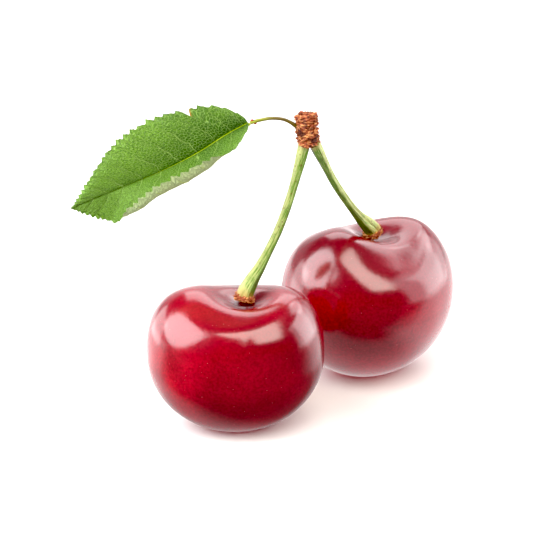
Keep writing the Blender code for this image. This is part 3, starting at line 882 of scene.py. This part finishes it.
class CHERRY_OT_fruits(bpy.types.Operator):
    """Make the two cherries, each in one skin pressed flat where it rests"""

    bl_idname = "cherry.fruits"
    bl_label = "Cherries"

    def execute(self, context):
        settings = context.scene.cherry_fruits
        # The fifth value of each row is the strength of the painted shade on the lower band and on the
        # shaded side.
        for name, fruit, ripe, deep, shade, seed in (
            ("front", FRONT_FRUIT, settings.front_colour, settings.front_deep, 0.5, 0.0),
            ("rear", REAR_FRUIT, settings.rear_colour, settings.rear_deep, 0.1, 0.11),
        ):
            finish = skin_material(f"skin_{name}", settings, fruit, ripe, deep, shade, seed)
            mesh = fruit_mesh(f"fruit_{name}", fruit, settings.segments, settings.rings, finish)
            piece_from_mesh(f"fruit_{name}", mesh, f"cherry_{name}")
        return {"FINISHED"}


# The stalks and their woody feet


def stalk_material(settings, name):
    """Ribbed green stalk: painted light on one side and painted shade on the other, pale ridges, green
    furrows, brown flecks, and a browner foot.
    """
    made, tree, shader, place = new_material(name, 0.42, Subsurface_Weight=0.1, Subsurface_Scale=0.5 * MM)
    along = attribute(tree, "along")
    angle = attribute(tree, "round") * math.tau
    lane = combine(angle.math("COSINE"), angle.math("SINE"), along * 1.6)
    streak = patches(lane, 6.2, 0.43, 0.57, 3.0)
    scratch = patches(lane, 11.0, 0.62, 0.7, 4.0)
    # Painted light and shade: paler on the side that faces the given direction, darker on the other, mixed
    # with streaks.
    broad = patches(place, 420.0, 0.38, 0.66, 3.0) * 0.3 + attribute(tree, "painted_side_light") * 1.15
    broad = patches(lane, 13.0, 0.44, 0.56, 2.0) * 0.5 + broad
    broad = streak * 0.7 + broad
    tone = layered(
        mix(broad.step(-0.6, 0.55), settings.deep, settings.green),
        (broad.step(0.75, 1.8), settings.pale),
        (specks(place, 1500.0, 0.42) * 0.6, settings.brown),
        (scratch * 0.5, settings.brown),
        (along.step(0.075, 0.025, 0.0, 0.5), (0.6, 0.3, 0.09)),
        (along.step(0.955, 0.995, 0.0, 0.6), (0.5, 0.4, 0.16)),
    )
    ribs = (angle * 9.0).math("COSINE")
    paint(shader, tone, ribs * 0.5 + (streak + scratch), 0.06 * MM)
    return made


def woody_material(settings, name, painted_shade_share=0.8):
    """Orange-brown bark: near-black patches of painted crevice shade, each lump in its own tone, the light
    tone partly painted highlight.
    """
    made, tree, shader, place = new_material(name, 0.75)
    tone = layered(
        # Each lump gets its own tone at random; the light bark tone stands in partly for painted
        # highlights.
        mix(attribute(tree, "shade").step(0.2, 0.9), settings.bark, settings.light),
        (patches(place, 700.0, 0.45, 0.58, 2.0) * 0.5, settings.bark),
        # Painted shade: near-black patches, scattered at random, stand for shaded crevices.
        (patches(place, 480.0, 0.56, 0.64, 2.0) * painted_shade_share, settings.dark),
        (patches(place, 1700.0, 0.52, 0.62, 3.0) * (0.9 * painted_shade_share), settings.dark),
    )
    paint(shader, tone, unevenness(place, 5200.0, 4.0), 0.05 * MM)
    return made


def collar_rings(route, radius, seed):
    """A ragged ring round the foot of a stalk, wider and torn at its upper edge."""
    centres = even_centres(route, PATH_POINTS)
    foot = centres[0]
    up = (centres[COLLAR_AXIS_POINT] - foot).normalized()
    rings = []
    for row in range(COLLAR_ROWS + 1):
        level = row / COLLAR_ROWS
        ring = []
        for step in range(COLLAR_SIDES):
            outward = round_axis(up, math.tau * step / COLLAR_SIDES)
            torn = noise.noise(outward * 2.3 + Vector((seed, level, 0.0)))
            fine = noise.noise(outward * 6.0 + Vector((0.0, seed, 2.0 * level)))
            wide = radius * (1.0 + 0.1 * math.sin(math.pi * level) + 0.1 * torn + 0.08 * fine)
            height = level * (0.85 * MM + 0.35 * MM * torn + 0.2 * MM * fine)
            ring.append(foot + outward * wide + up * (height - 0.15 * MM))
        rings.append(ring)
    rings.append([foot.lerp(point, 0.72) + up * 0.1 * MM for point in rings[-1]])
    return rings


class CHERRY_OT_stalks(bpy.types.Operator):
    """Make the two ribbed stalks with their woody feet"""

    bl_idname = "cherry.stalks"
    bl_label = "Stalks"

    def execute(self, context):
        settings = context.scene.cherry_stalks
        green = stalk_material(settings, "green_stalk")
        # The woody feet get less of the painted crevice shade.
        bark = woody_material(context.scene.cherry_spur, "woody_foot", 0.25)
        for name, route, flare, seed, painted_lit_side in (
            # Each stalk is given the side that gets painted light.
            ("front", FRONT_STALK_ROUTE, settings.front_flare, 1.0, (-0.85, -0.5, 0.2)),
            ("rear", REAR_STALK_ROUTE, settings.rear_flare, 5.0, (0.75, -0.3, 0.6)),
        ):
            values = {
                "Waist radius": settings.waist,
                "Foot flare": flare,
                "Head flare": settings.head_flare,
                "Painted lit side": painted_lit_side,
                "Seed": seed,
                "Material": green,
            }
            path = path_mesh(f"path_{name}", [even_centres(route, PATH_POINTS)])
            mesh = evaluated_mesh(f"stalk_{name}", path, shared("ribbed_tube", tube_tree), values)
            piece_from_mesh(f"green_stalk_{name}", mesh, f"stalk_{name}")
            collar = loft(collar_rings(route, settings.waist + flare + 0.1 * MM, seed))
            collar = mesh_from_bmesh(f"collar_{name}", collar, (bark,))
            piece_from_mesh(f"collar_{name}", collar)
            crumbs = f"collar_crumbs_{name}"
            scatter_flakes(crumbs, collar, bark, 0.24, 2.0e7, (0.3, 0.12, 0.1), 1.1, int(seed))
        return {"FINISHED"}


# The woody spur


def spur_rings():
    """Rings of the knob: stacked scars with sharp lips, wandering and broken up."""
    foot, head = Vector(SPUR_FOOT), Vector(SPUR_HEAD)
    up = (head - foot).normalized()
    rings = []
    for row in range(SPUR_RINGS + 1):
        level = row / SPUR_RINGS
        centre = foot.lerp(head, level)
        ends = 1.0 - 0.3 * smooth_step(0.04, 0.0, level) - 0.35 * smooth_step(0.955, 1.0, level)
        ring = []
        for step in range(SPUR_SIDES):
            turn = math.tau * step / SPUR_SIDES
            outward = round_axis(up, turn)
            point = centre + outward * SPUR_RADIUS
            slow = noise.noise(point / (1.7 * MM))
            quick = noise.noise(point / (0.5 * MM) + Vector((3.0, 1.0, 7.0)))
            fine = noise.noise(point / (0.2 * MM) + Vector((9.0, 4.0, 2.0)))
            phase = SPUR_SCARS * level + 0.5 * slow + 0.3 * math.sin(turn + 1.0) + 0.25 * quick
            phase %= 1.0
            falling = (1.0 - phase) / (1.0 - SCAR_LIP) * SCAR_LIP**LIP_POWER
            lip = phase**LIP_POWER if phase < SCAR_LIP else falling
            wide = SPUR_RADIUS * ends - 0.16 * MM + 0.22 * MM * lip
            wide += 0.3 * MM * slow + 0.26 * MM * quick + 0.09 * MM * fine
            along = (level - SPUR_PIT[0]) * (head - foot).length
            around = angle_between(turn, math.radians(SPUR_PIT[1])) * SPUR_RADIUS
            wide -= SPUR_PIT_DEPTH * bell(math.hypot(along, around), SPUR_PIT_SPREAD)
            ring.append(centre + outward * wide + up * 0.08 * MM * quick)
        rings.append(ring)
    return rings


class CHERRY_OT_spur(bpy.types.Operator):
    """Make the woody spur: a ringed knob under a crust of bud scale scars"""

    bl_idname = "cherry.spur"
    bl_label = "Spur"

    def execute(self, context):
        bark = woody_material(context.scene.cherry_spur, "spur_bark")
        knob = mesh_from_bmesh("spur_knob", loft(spur_rings()), (bark,))
        piece_from_mesh("spur_knob", knob, "spur")
        scatter_flakes("spur_scales", knob, bark, 0.3, 1.2e7, (0.4, 0.17, 0.15), 0.6, 11)
        body = bmesh.new()
        bmesh.ops.create_icosphere(body, subdivisions=4, radius=1.0)
        for vertex in body.verts:
            lump = 1.0 + 0.45 * noise.noise(vertex.co * 1.6)
            vertex.co = Vector(SPUR_BUD) + vertex.co * lump * 0.34 * MM
        piece_from_mesh("spur_bud", mesh_from_bmesh("spur_bud", body, (bark,)))
        return {"FINISHED"}


# The leaf stalk and its glands


def leaf_stalk_material(settings):
    """Olive leaf stalk, greener towards the blade."""
    made, tree, shader, place = new_material("leaf_stalk", 0.38)
    tone = mix(attribute(tree, "along").step(0.45, 0.9), settings.stalk, settings.stalk_green)
    blotch = patches(place, 700.0, 0.4, 0.62, 3.0)
    paint(shader, mix((1.0 - blotch) * 0.4, tone, (0.02, 0.012, 0.0)), blotch, 0.02 * MM)
    return made


def gland_points(share, degrees, ball):
    """Turns the points of a unit ball into a dimpled gland on the side of the leaf stalk."""
    centre = smooth_route(LEAF_STALK_ROUTE, share)
    tangent = (smooth_route(LEAF_STALK_ROUTE, min(1.0, share + 0.02)) - centre).normalized()
    side = Vector((0.0, 1.0, 0.0))
    side = (side - tangent * side.dot(tangent)).normalized()
    turn = math.radians(degrees)
    outward = side * math.cos(turn) + tangent.cross(side) * math.sin(turn)
    basis = Matrix((tangent, outward.cross(tangent), outward)).transposed().to_4x4()
    basis.translation = centre + outward * 0.33 * MM
    for vertex in ball:
        direction = vertex.co.normalized()
        dimple = 0.35 * bell(math.hypot(direction.x, direction.y), 0.4) * (direction.z > 0.0)
        lump = 1.0 + 0.12 * noise.noise(direction * 2.0 + Vector((share * 40.0, 0.0, 0.0)))
        local = Vector((direction.x * 0.24, direction.y * 0.19, direction.z * (0.17 - 0.17 * dimple)))
        vertex.co = basis @ (local * lump * MM)


class CHERRY_OT_leaf_stalk(bpy.types.Operator):
    """Make the leaf stalk and its two red nectar glands"""

    bl_idname = "cherry.leaf_stalk"
    bl_label = "Leaf stalk"

    def execute(self, context):
        settings = context.scene.cherry_leaf
        values = {
            "Rings": 90,
            "Sides": 32,
            "Waist radius": 0.27 * MM,
            "Foot flare": 0.1 * MM,
            "Foot reach": 0.35,
            "Head flare": 0.02 * MM,
            "Ribs": 2.0,
            "Rib height": 0.06,
            "Twist": 0.0,
            "Unevenness": 0.015 * MM,
            "Seed": 8.0,
            "Material": leaf_stalk_material(settings),
        }
        path = path_mesh("leaf_path", [even_centres(LEAF_STALK_ROUTE, PATH_POINTS)])
        mesh = evaluated_mesh("leaf_stalk_tube", path, shared("ribbed_tube", tube_tree), values)
        piece_from_mesh("leaf_stalk_tube", mesh, "leaf_stalk")
        body = bmesh.new()
        for share, degrees in GLANDS:
            ball = bmesh.ops.create_uvsphere(body, u_segments=32, v_segments=20, radius=1.0)
            gland_points(share, degrees, ball["verts"])
        finish = blotched_material("gland", 0.25, settings.gland, 0.5, 2500.0)
        piece_from_mesh("leaf_glands", mesh_from_bmesh("glands", body, (finish,)))
        return {"FINISHED"}


# The leaf blade


def blade_half_width(along, side):
    """Width of one half of the blade at this share of its length, teeth left out."""
    arc = math.sin(math.pi * min(1.0, max(0.0, along)) ** BLADE_WIDEST)
    base, tip = FAR_FULLNESS if side > 0 else NEAR_FULLNESS
    full = FAR_HALF_WIDTH if side > 0 else NEAR_HALF_WIDTH
    return full * max(0.0, arc) ** (base + (tip - base) * along)


def half_angles(along, side):
    """Slopes over level of one half of the blade, at the midrib and at the margin, in radians."""
    if side > 0:
        return tuple(math.radians(angle) for angle in FAR_HALF_ANGLES)
    slope = NEAR_HALF_BASE + (NEAR_HALF_MIDDLE - NEAR_HALF_BASE) * smooth_step(*NEAR_HALF_SETTLES, along)
    slope += (NEAR_HALF_TIP - slope) * smooth_step(*NEAR_HALF_HANGS, along)
    curl = smooth_step(*CURL_GROWS, along) * (1.0 - smooth_step(*CURL_FADES, along))
    return math.radians(slope), math.radians(slope + (CURLED_SLOPE - slope) * curl)


def blade_section(along, side, reach):
    """How far out and up a half of the blade gets when one goes this far from the midrib."""
    first, last = half_angles(along, side)
    width = max(blade_half_width(along, side), 1e-6)
    out = up = 0.0
    for index in range(SECTION_STEPS):
        part = (index + 0.5) / SECTION_STEPS * reach / width
        bend = smooth_step(CURL_START, 1.0, part) if side < 0 else part
        slope = first + (last - first) * bend
        out += math.cos(slope) * reach / SECTION_STEPS
        up += math.sin(slope) * reach / SECTION_STEPS
    return out, up


def midrib_frame(along):
    """Point on the midrib, with the level direction across it and the one over it."""
    ahead = smooth_route(MIDRIB_ROUTE, along + PROBE_STEP)
    behind = smooth_route(MIDRIB_ROUTE, along - PROBE_STEP)
    tangent = (ahead - behind).normalized()
    across = Vector((0.0, 0.0, 1.0)).cross(tangent).normalized()
    if across.y < 0.0:
        across = -across
    over = across.cross(tangent)
    if over.z < 0.0:
        over = -over
    return smooth_route(MIDRIB_ROUTE, along), across, over


def vein_sweep(start):
    """How far forward the margin lies of the place where its row leaves the midrib."""
    return VEIN_SWEEP * math.sin(math.pi * start) ** SWEEP_FADE


def blade_point(start, side, share, tooth=0.0):
    """A point of the blade: start is where its row leaves the midrib, share how far out it lies."""
    sweep = vein_sweep(start)
    along = start + sweep * share**SWEEP_BEND
    margin = start + sweep
    width = blade_half_width(margin, side) + tooth
    if side > 0:
        width -= NICK_DEPTH * bell(margin - NICK_PLACE, NICK_SPREAD)
    centre, across, over = midrib_frame(along)
    out, up = blade_section(along, side, max(0.0, width) * share)
    return centre + across * (side * out) + over * up


def tooth_reach(start):
    """How far the margin stands out here: forward-leaning teeth, each with a small one on its back."""
    place = start * TEETH + 0.35 * noise.noise(Vector((start * TEETH * 0.8, 2.6, 0.0)))
    part = place % 1.0
    main = part / TOOTH_POINT if part < TOOTH_POINT else (1.0 - part) / (1.0 - TOOTH_POINT)
    small = 0.18 * bell(part - 0.3, 0.09)
    uneven = 0.85 + 0.8 * noise.noise(Vector((math.floor(place) * 1.7, 0.4, 0.0)))
    return TOOTH_LENGTH * uneven * (main**1.3 + small) * math.sin(math.pi * start) ** TOOTH_FADE


def vein_distance(start):
    """Distance of a row from the nearest side vein, as a share of the step between veins."""
    place = (start - FIRST_VEIN) / VEIN_STEP
    return abs(place - round(place))


def row_start(row, rows):
    """Share of the midrib's length that a row of the blade leaves it at."""
    first, last = BLADE_ENDS
    return first + (last - first) * row / rows


def blade_grid(rows):
    """Middle surface of the blade: one row of points from the near margin to the far one."""
    grid = []
    for index in range(rows + 1):
        start = row_start(index, rows)
        tooth = tooth_reach(start)
        line = []
        for column in range(-BLADE_COLUMNS, BLADE_COLUMNS + 1):
            share = abs(column) / BLADE_COLUMNS
            reach = tooth * smooth_step(0.72, 1.0, share)
            line.append(blade_point(start, 1 if column >= 0 else -1, share, reach))
        grid.append(line)
    return grid


def grid_normal(grid, row, column, side):
    """Upper side's direction at a point of the grid, from its neighbours in one half."""
    rows, columns = len(grid) - 1, len(grid[0]) - 1
    forward = grid[min(rows, row + 1)][column] - grid[max(0, row - 1)][column]
    middle = columns // 2
    low, high = (middle, columns) if side > 0 else (0, middle)
    outward = grid[row][min(high, column + 1)] - grid[row][max(low, column - 1)]
    normal = outward.cross(forward)
    return normal.normalized() if normal.length > 0.0 else Vector((0.0, 0.0, 1.0))


def blade_mesh(upper_finish, under_finish):
    """The leaf blade: a thin toothed sheet, quilted between its side veins."""
    rows = TEETH * ROWS_A_TOOTH
    grid = blade_grid(rows)
    middle = BLADE_COLUMNS
    body = bmesh.new()
    reach_layer = body.verts.layers.float.new("reach")
    bite_layer = body.verts.layers.float.new("bite")
    plan = body.loops.layers.uv.new("blade")
    places = {}
    sheets = ([], [])
    for row, line in enumerate(grid):
        start = row_start(row, rows)
        from_nick = bell(start + vein_sweep(start) - NICK_PLACE, 1.5 * NICK_SPREAD)
        upper, under = [], []
        for column, point in enumerate(line):
            share = abs(column - middle) / BLADE_COLUMNS
            side = 1 if column >= middle else -1
            normal = grid_normal(grid, row, column, side)
            if column == middle:
                normal = (normal + grid_normal(grid, row, column, -1)).normalized()
            swell = smooth_step(0.0, 0.3, vein_distance(start)) * smooth_step(0.02, 0.2, share)
            swell *= 0.1 * MM * (1.0 - smooth_step(0.75, 1.0, share))
            ripple = 0.12 * MM * noise.noise(point / (3.0 * MM)) * share
            fold = 0.05 * MM * bell(share, 0.03)
            half_thick = 0.5 * BLADE_THICKNESS * (1.0 - 0.55 * smooth_step(0.85, 1.0, share))
            bite = from_nick * smooth_step(0.95, 0.99, share) if side > 0 else 0.0
            width = blade_half_width(start, side)
            for layer, offset in ((upper, half_thick), (under, -half_thick)):
                vertex = body.verts.new(point + normal * (offset + swell + ripple - fold))
                vertex[reach_layer] = share
                vertex[bite_layer] = bite
                places[vertex] = (start * BLADE_LENGTH / MM, side * share * width / MM)
                layer.append(vertex)
        sheets[0].append(upper)
        sheets[1].append(under)
    for index, sheet in enumerate(sheets):
        for line, following in zip(sheet, sheet[1:]):
            for column in range(2 * BLADE_COLUMNS):
                corners = (line[column], line[column + 1], following[column + 1], following[column])
                body.faces.new(corners).material_index = index
    upper, under = sheets
    edges = []
    for column in (0, 2 * BLADE_COLUMNS):
        edges.append(([line[column] for line in upper], [line[column] for line in under]))
    for row in (0, rows):
        edges.append((upper[row], under[row]))
    for first, second in edges:
        for index in range(len(first) - 1):
            body.faces.new((first[index], first[index + 1], second[index + 1], second[index]))
    for face in body.faces:
        for corner in face.loops:
            corner[plan].uv = places[corner.vert]
    return mesh_from_bmesh("leaf_sheet", body, (upper_finish, under_finish), sharp_degrees=50.0)


def blade_material(name, roughness, relief, base, dark, vein, midrib):
    """Leaf surface: fine network, side veins, orange edge at the bite, painted light and shade; places
    come from its plan.
    """
    made, tree, shader, place = new_material(name, roughness, Specular_IOR_Level=0.3)
    plan = make(tree, "ShaderNodeUVMap", uv_map="blade")
    run = make(tree, "ShaderNodeSeparateXYZ", {0: plan})  # millimetres along the midrib
    wander = unevenness(plan, 0.45, 3.0) * 1.6 - 0.8
    phase = ((run + wander) / (BLADE_LENGTH / MM) - FIRST_VEIN) / VEIN_STEP
    nearest = (phase - phase.math("ROUND")).math("ABSOLUTE")
    reach = attribute(tree, "reach")
    width = reach.step(0.0, 0.95, 0.046, 0.018)
    veins = nearest.step(width, width * 0.3) * reach.step(0.9, 0.45, 0.15, 1.0)

    def net(scale, low, high):
        inputs = {"Vector": plan, "Scale": scale}
        settings = {"feature": "DISTANCE_TO_EDGE", "voronoi_dimensions": "2D"}
        return make(tree, "ShaderNodeTexVoronoi", inputs, "Distance", **settings).step(low, high)

    coarse_net, fine_net = net(1.5, 0.05, 0.0), net(2.7, 0.2, 0.03)
    # Painted light and shade: lighter towards the margin and the tip, darker towards the midrib and the
    # base, with random patches.
    outer = patches(place, 260.0, 0.35, 0.7, 3.0) * 0.4 + reach.step(0.05, 0.95, 0.0, 0.55)
    outer = outer + run.step(4.0, 24.0, -0.15, 0.75)
    rib_width = run.step(0.0, 24.0, 0.14, 0.06)
    from_rib = run.out(1).math("ABSOLUTE")
    rib = from_rib.step(rib_width, rib_width * 0.5) * run.step(11.0, 21.0, 1.0, 0.3)
    tone = layered(
        mix(outer, dark, base),
        (fine_net * 0.75, base * 0.3 + vein * 0.7),
        (patches(plan, 3.6, 0.46, 0.62, 2.0) * 0.6, dark),
        (coarse_net * 0.3, vein),
        (veins * 0.9, vein),
        # Painted shade: a darker band on both sides of the midrib, where the blade folds.
        (from_rib.step(rib_width * 7.0, rib_width) * 0.55, dark),
        (rib, midrib),
        (attribute(tree, "bite"), (0.55, 0.17, 0.03)),
        (specks(place, 260.0, 0.085) * 0.8, (0.4, 0.16, 0.02)),
    )
    height = veins * (2.5 * relief) + (fine_net + coarse_net) * relief
    paint(shader, tone, height, 0.07 * MM)
    return made


def blade_surface(start, side, share):
    """A point of the blade's middle surface, and the direction out of its upper side."""
    point = blade_point(start, side, share)
    ahead = blade_point(min(1.0, start + PROBE_STEP), side, share)
    forward = ahead - blade_point(max(0.0, start - PROBE_STEP), side, share)
    outer = blade_point(start, side, min(1.0, share + PROBE_STEP))
    outward = outer - blade_point(start, side, max(0.0, share - PROBE_STEP))
    return point, (outward.cross(forward) * side).normalized()


def vein_lines():
    """Lines of the midrib and the side veins just under the blade, with their thickness."""
    midrib_steps, vein_steps = 90, 40
    line, thick = [], []
    for index in range(midrib_steps + 1):
        start = 0.004 + 0.985 * index / midrib_steps
        centre, _, over = midrib_frame(start)
        line.append(centre - over * 0.2 * MM)
        thick.append(2.4 - 1.8 * start)
    lines, thickness = [line], [thick]
    for pair in range(VEIN_PAIRS):
        for side in (-1, 1):
            line, thick = [], []
            for index in range(vein_steps + 1):
                share = 0.94 * index / vein_steps
                point, normal = blade_surface(FIRST_VEIN + VEIN_STEP * pair, side, share)
                line.append(point - normal * 0.45 * BLADE_THICKNESS)
                thick.append(0.95 - 0.75 * share)
            lines.append(line)
            thickness.append(thick)
    return lines, thickness


class CHERRY_OT_leaf(bpy.types.Operator):
    """Make the toothed leaf blade and the ridges of its veins"""

    bl_idname = "cherry.leaf"
    bl_label = "Leaf blade"

    def execute(self, context):
        settings = context.scene.cherry_leaf
        green, pale, midrib = settings.upper, settings.under, settings.midrib
        upper = blade_material("leaf_upper", 0.42, -1.0, green, settings.dark, settings.vein, midrib)
        under = blade_material("leaf_under", 0.62, 1.0, pale, pale * 0.7, pale * 0.5, midrib)
        piece_from_mesh("leaf_sheet", blade_mesh(upper, under), "leaf_blade")
        finish = blotched_material("leaf_veins", 0.5, midrib, 0.75, 900.0)
        values = {"Radius": 0.1 * MM, "Sides": 10, "Material": finish}
        path = path_mesh("vein_path", *vein_lines())
        mesh = evaluated_mesh("leaf_vein_ridges", path, shared("leaf_veins", veins_tree), values)
        piece_from_mesh("leaf_vein_ridges", mesh)
        return {"FINISHED"}


# The floor, the lights and the camera


def floor_material(settings):
    """White floor. The camera sees it bright all over; the cherries are lit by its bright far part."""
    made, tree, shader, place = new_material("stage_floor", 0.7, Specular_IOR_Level=0.1)
    across = make(tree, "ShaderNodeSeparateXYZ", {0: place})
    depth = across.out("Y")
    bulge = (((across - LIT_BULGE_PLACE) / LIT_BULGE_WIDTH) ** 2.0 * -1.0).math("EXPONENT")
    beyond = depth - (bulge * -LIT_BULGE_DEPTH + LIT_EDGE)
    lit = beyond.step(-3.0 * MM, 3.0 * MM, 0.12, 0.5) + beyond.step(2.0 * MM, 24.0 * MM, 0.0, 0.5)
    aside = (across - LIT_MIDDLE).math("ABSOLUTE").step(18.0 * MM, 30.0 * MM, 0.0, 0.65)
    lit = lit + depth.step(-12.0 * MM, 6.0 * MM) * aside
    camera_ray = make(tree, "ShaderNodeLightPath", out="Is Camera Ray")
    lit = lit.math("MAXIMUM", camera_ray.out("Is Diffuse Ray") * 0.9)
    seen = mix(patches(place, 12.0, 0.2, 0.8, 2.0), settings.floor * 0.985, settings.floor)
    feed(mix(camera_ray, BLACK, seen), shader.inputs["Base Color"])
    shader.inputs["Emission Color"].default_value = (1.0, 0.98, 0.98, 1.0)
    glow = (1.0 - camera_ray) * lit * (LIT_FLOOR * settings.light)
    feed(glow, shader.inputs["Emission Strength"])
    return made


def add_light(name, direction, distance, size, radiance, tint=WHITE, shape="RECTANGLE", unseen=None):
    """A softbox that faces the cherries; radiance is what a mirror would show of it."""
    lamp = bpy.data.lights.new(name, "AREA")
    lamp.shape = shape
    lamp.size, lamp.size_y = size
    area = size[0] * size[1] * (math.pi / 4.0 if shape == "ELLIPSE" else 1.0)
    lamp.energy = radiance * math.pi * area
    lamp.color = tint
    lamp_object = bpy.data.objects.new(name, lamp)
    aim = Vector(direction).normalized()
    lamp_object.location = Vector(LIGHTS_AIM) + aim * distance
    lamp_object.rotation_euler = aim.to_track_quat("Z", "Y").to_euler()
    lamp_object.visible_camera = False
    if unseen:
        setattr(lamp_object, unseen, False)
    bpy.context.scene.collection.objects.link(lamp_object)


def add_lights(power):
    """Softboxes, then cards that are only mirrored, then fills that are never mirrored."""
    card, fill = {"unseen": "visible_diffuse"}, {"unseen": "visible_glossy"}
    for name, direction, distance, size, radiance, more in (
        ("left_softbox", (-0.77, -0.15, 0.61), 0.36, (0.42, 0.5), 5.8, {"shape": "ELLIPSE", **card}),
        ("front_softbox", (0.31, -0.44, 0.85), 0.42, (0.22, 0.48), 6.2, {"tint": (1.0, 0.9, 0.8)}),
        ("right_softbox", (0.92, 0.22, 0.34), 0.38, (0.24, 0.36), 2.6, {}),
        ("back_softbox", (0.05, 0.74, 0.67), 0.42, (0.3, 0.22), 3.0, {}),
        ("back_right_softbox", (0.5, 0.5, 0.7), 0.42, (0.18, 0.2), 3.4, {}),
        ("right_card", (0.92, 0.14, 0.36), 0.068, (0.082, 0.066), 1.8, card),
        ("left_card", (-0.9, 0.35, 0.15), 0.085, (0.05, 0.05), 2.6, card),
        ("left_fill", (-0.74, -0.2, 0.64), 0.6, (0.4, 0.4), 10.0, fill),
        ("front_fill", (-0.58, -0.66, 0.48), 0.6, (0.35, 0.35), 4.3, fill),
    ):
        add_light(name, direction, distance, size, radiance * power, **more)


def build_world():
    """White to the camera; to the cherries, white behind and at the sides and dim in front."""
    world = bpy.data.worlds.new("studio")
    world.use_nodes = True
    tree = world.node_tree
    tree.nodes.clear()
    direction = make(tree, "ShaderNodeTexCoord", out="Generated")
    across = make(tree, "ShaderNodeSeparateXYZ", {0: direction})
    lit = across.out("Y").step(-0.15, 0.32, 0.0, 1.15) * across.step(-0.6, -0.05, 0.4, 1.0)
    lit = lit * across.out("Z").step(0.3, 0.55, 1.0, 0.0) + FRONT_FILL
    camera_ray = make(tree, "ShaderNodeLightPath", out="Is Camera Ray")
    strength = (camera_ray * 1.05).math("MAXIMUM", lit)
    background = make(tree, "ShaderNodeBackground", {"Strength": strength, "Color": WHITE})
    feed(background, tree.nodes.new("ShaderNodeOutputWorld").inputs[0])
    bpy.context.scene.world = world


def add_camera():
    rise = math.radians(CAMERA_RISE)
    right = Vector((1.0, 0.0, 0.0))
    up = Vector((0.0, math.sin(rise), math.cos(rise)))
    camera = bpy.data.cameras.new("camera")
    camera.lens = CAMERA_LENS
    camera.sensor_width = CAMERA_FILM
    camera.clip_start, camera.clip_end = CAMERA_RANGE
    holder = bpy.data.objects.new("camera", camera)
    turn = Matrix((right, up, right.cross(up))).transposed().to_4x4()
    holder.matrix_world = Matrix.Translation(CAMERA_PLACE) @ turn
    bpy.context.scene.collection.objects.link(holder)
    bpy.context.scene.camera = holder


def add_floor(settings):
    corners = [(x * FLOOR_REACH, y * FLOOR_REACH, 0.0) for x, y in ((-1, -1), (1, -1), (1, 1), (-1, 1))]
    mesh = bpy.data.meshes.new("floor")
    mesh.from_pydata(corners, [], [(0, 1, 2, 3)])
    mesh.materials.append(floor_material(settings))
    floor = bpy.data.objects.new("floor", mesh)
    bpy.context.scene.collection.objects.link(floor)


class CHERRY_OT_stage(bpy.types.Operator):
    """Make the pale floor, the softboxes, the world and the camera"""

    bl_idname = "cherry.stage"
    bl_label = "Stage"

    def execute(self, context):
        settings = context.scene.cherry_stage
        add_floor(settings)
        add_lights(settings.light)
        build_world()
        add_camera()
        look = context.scene.view_settings
        look.view_transform = "Standard"
        look.look = "None"
        look.use_curve_mapping = True
        look.curve_mapping.black_level = (BLACK_LEVEL, BLACK_LEVEL, BLACK_LEVEL)
        look.curve_mapping.update()
        return {"FINISHED"}


class CHERRY_PT_panel(bpy.types.Panel):
    """Lists the pieces in the sidebar"""

    bl_idname = "CHERRY_PT_panel"
    bl_label = "Cherry pair"
    bl_space_type = "VIEW_3D"
    bl_region_type = "UI"
    bl_category = "Cherries"

    def draw(self, context):
        for operator, settings in STEPS:
            box = self.layout.box()
            box.operator(operator.bl_idname)
            group = getattr(context.scene, settings)
            for key in group.__annotations__:
                box.prop(group, key)


STEPS = (
    (CHERRY_OT_fruits, "cherry_fruits"),
    (CHERRY_OT_stalks, "cherry_stalks"),
    (CHERRY_OT_spur, "cherry_spur"),
    (CHERRY_OT_leaf_stalk, "cherry_leaf"),
    (CHERRY_OT_leaf, "cherry_leaf"),
    (CHERRY_OT_stage, "cherry_stage"),
)
SETTINGS = {
    "cherry_fruits": FruitSettings,
    "cherry_stalks": StalkSettings,
    "cherry_spur": SpurSettings,
    "cherry_leaf": LeafSettings,
    "cherry_stage": StageSettings,
}


def register():
    for name, group in SETTINGS.items():
        bpy.utils.register_class(group)
        setattr(bpy.types.Scene, name, PointerProperty(type=group))
    for operator, _ in STEPS:
        bpy.utils.register_class(operator)
    bpy.utils.register_class(CHERRY_PT_panel)


def unregister():
    bpy.utils.unregister_class(CHERRY_PT_panel)
    for operator, _ in reversed(STEPS):
        bpy.utils.unregister_class(operator)
    for name, group in reversed(SETTINGS.items()):
        delattr(bpy.types.Scene, name)
        bpy.utils.unregister_class(group)


def main():
    register()
    bpy.ops.cherry.fruits()
    bpy.ops.cherry.stalks()
    bpy.ops.cherry.spur()
    bpy.ops.cherry.leaf_stalk()
    bpy.ops.cherry.leaf()
    bpy.ops.cherry.stage()
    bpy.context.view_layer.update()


if __name__ == "__main__":
    main()
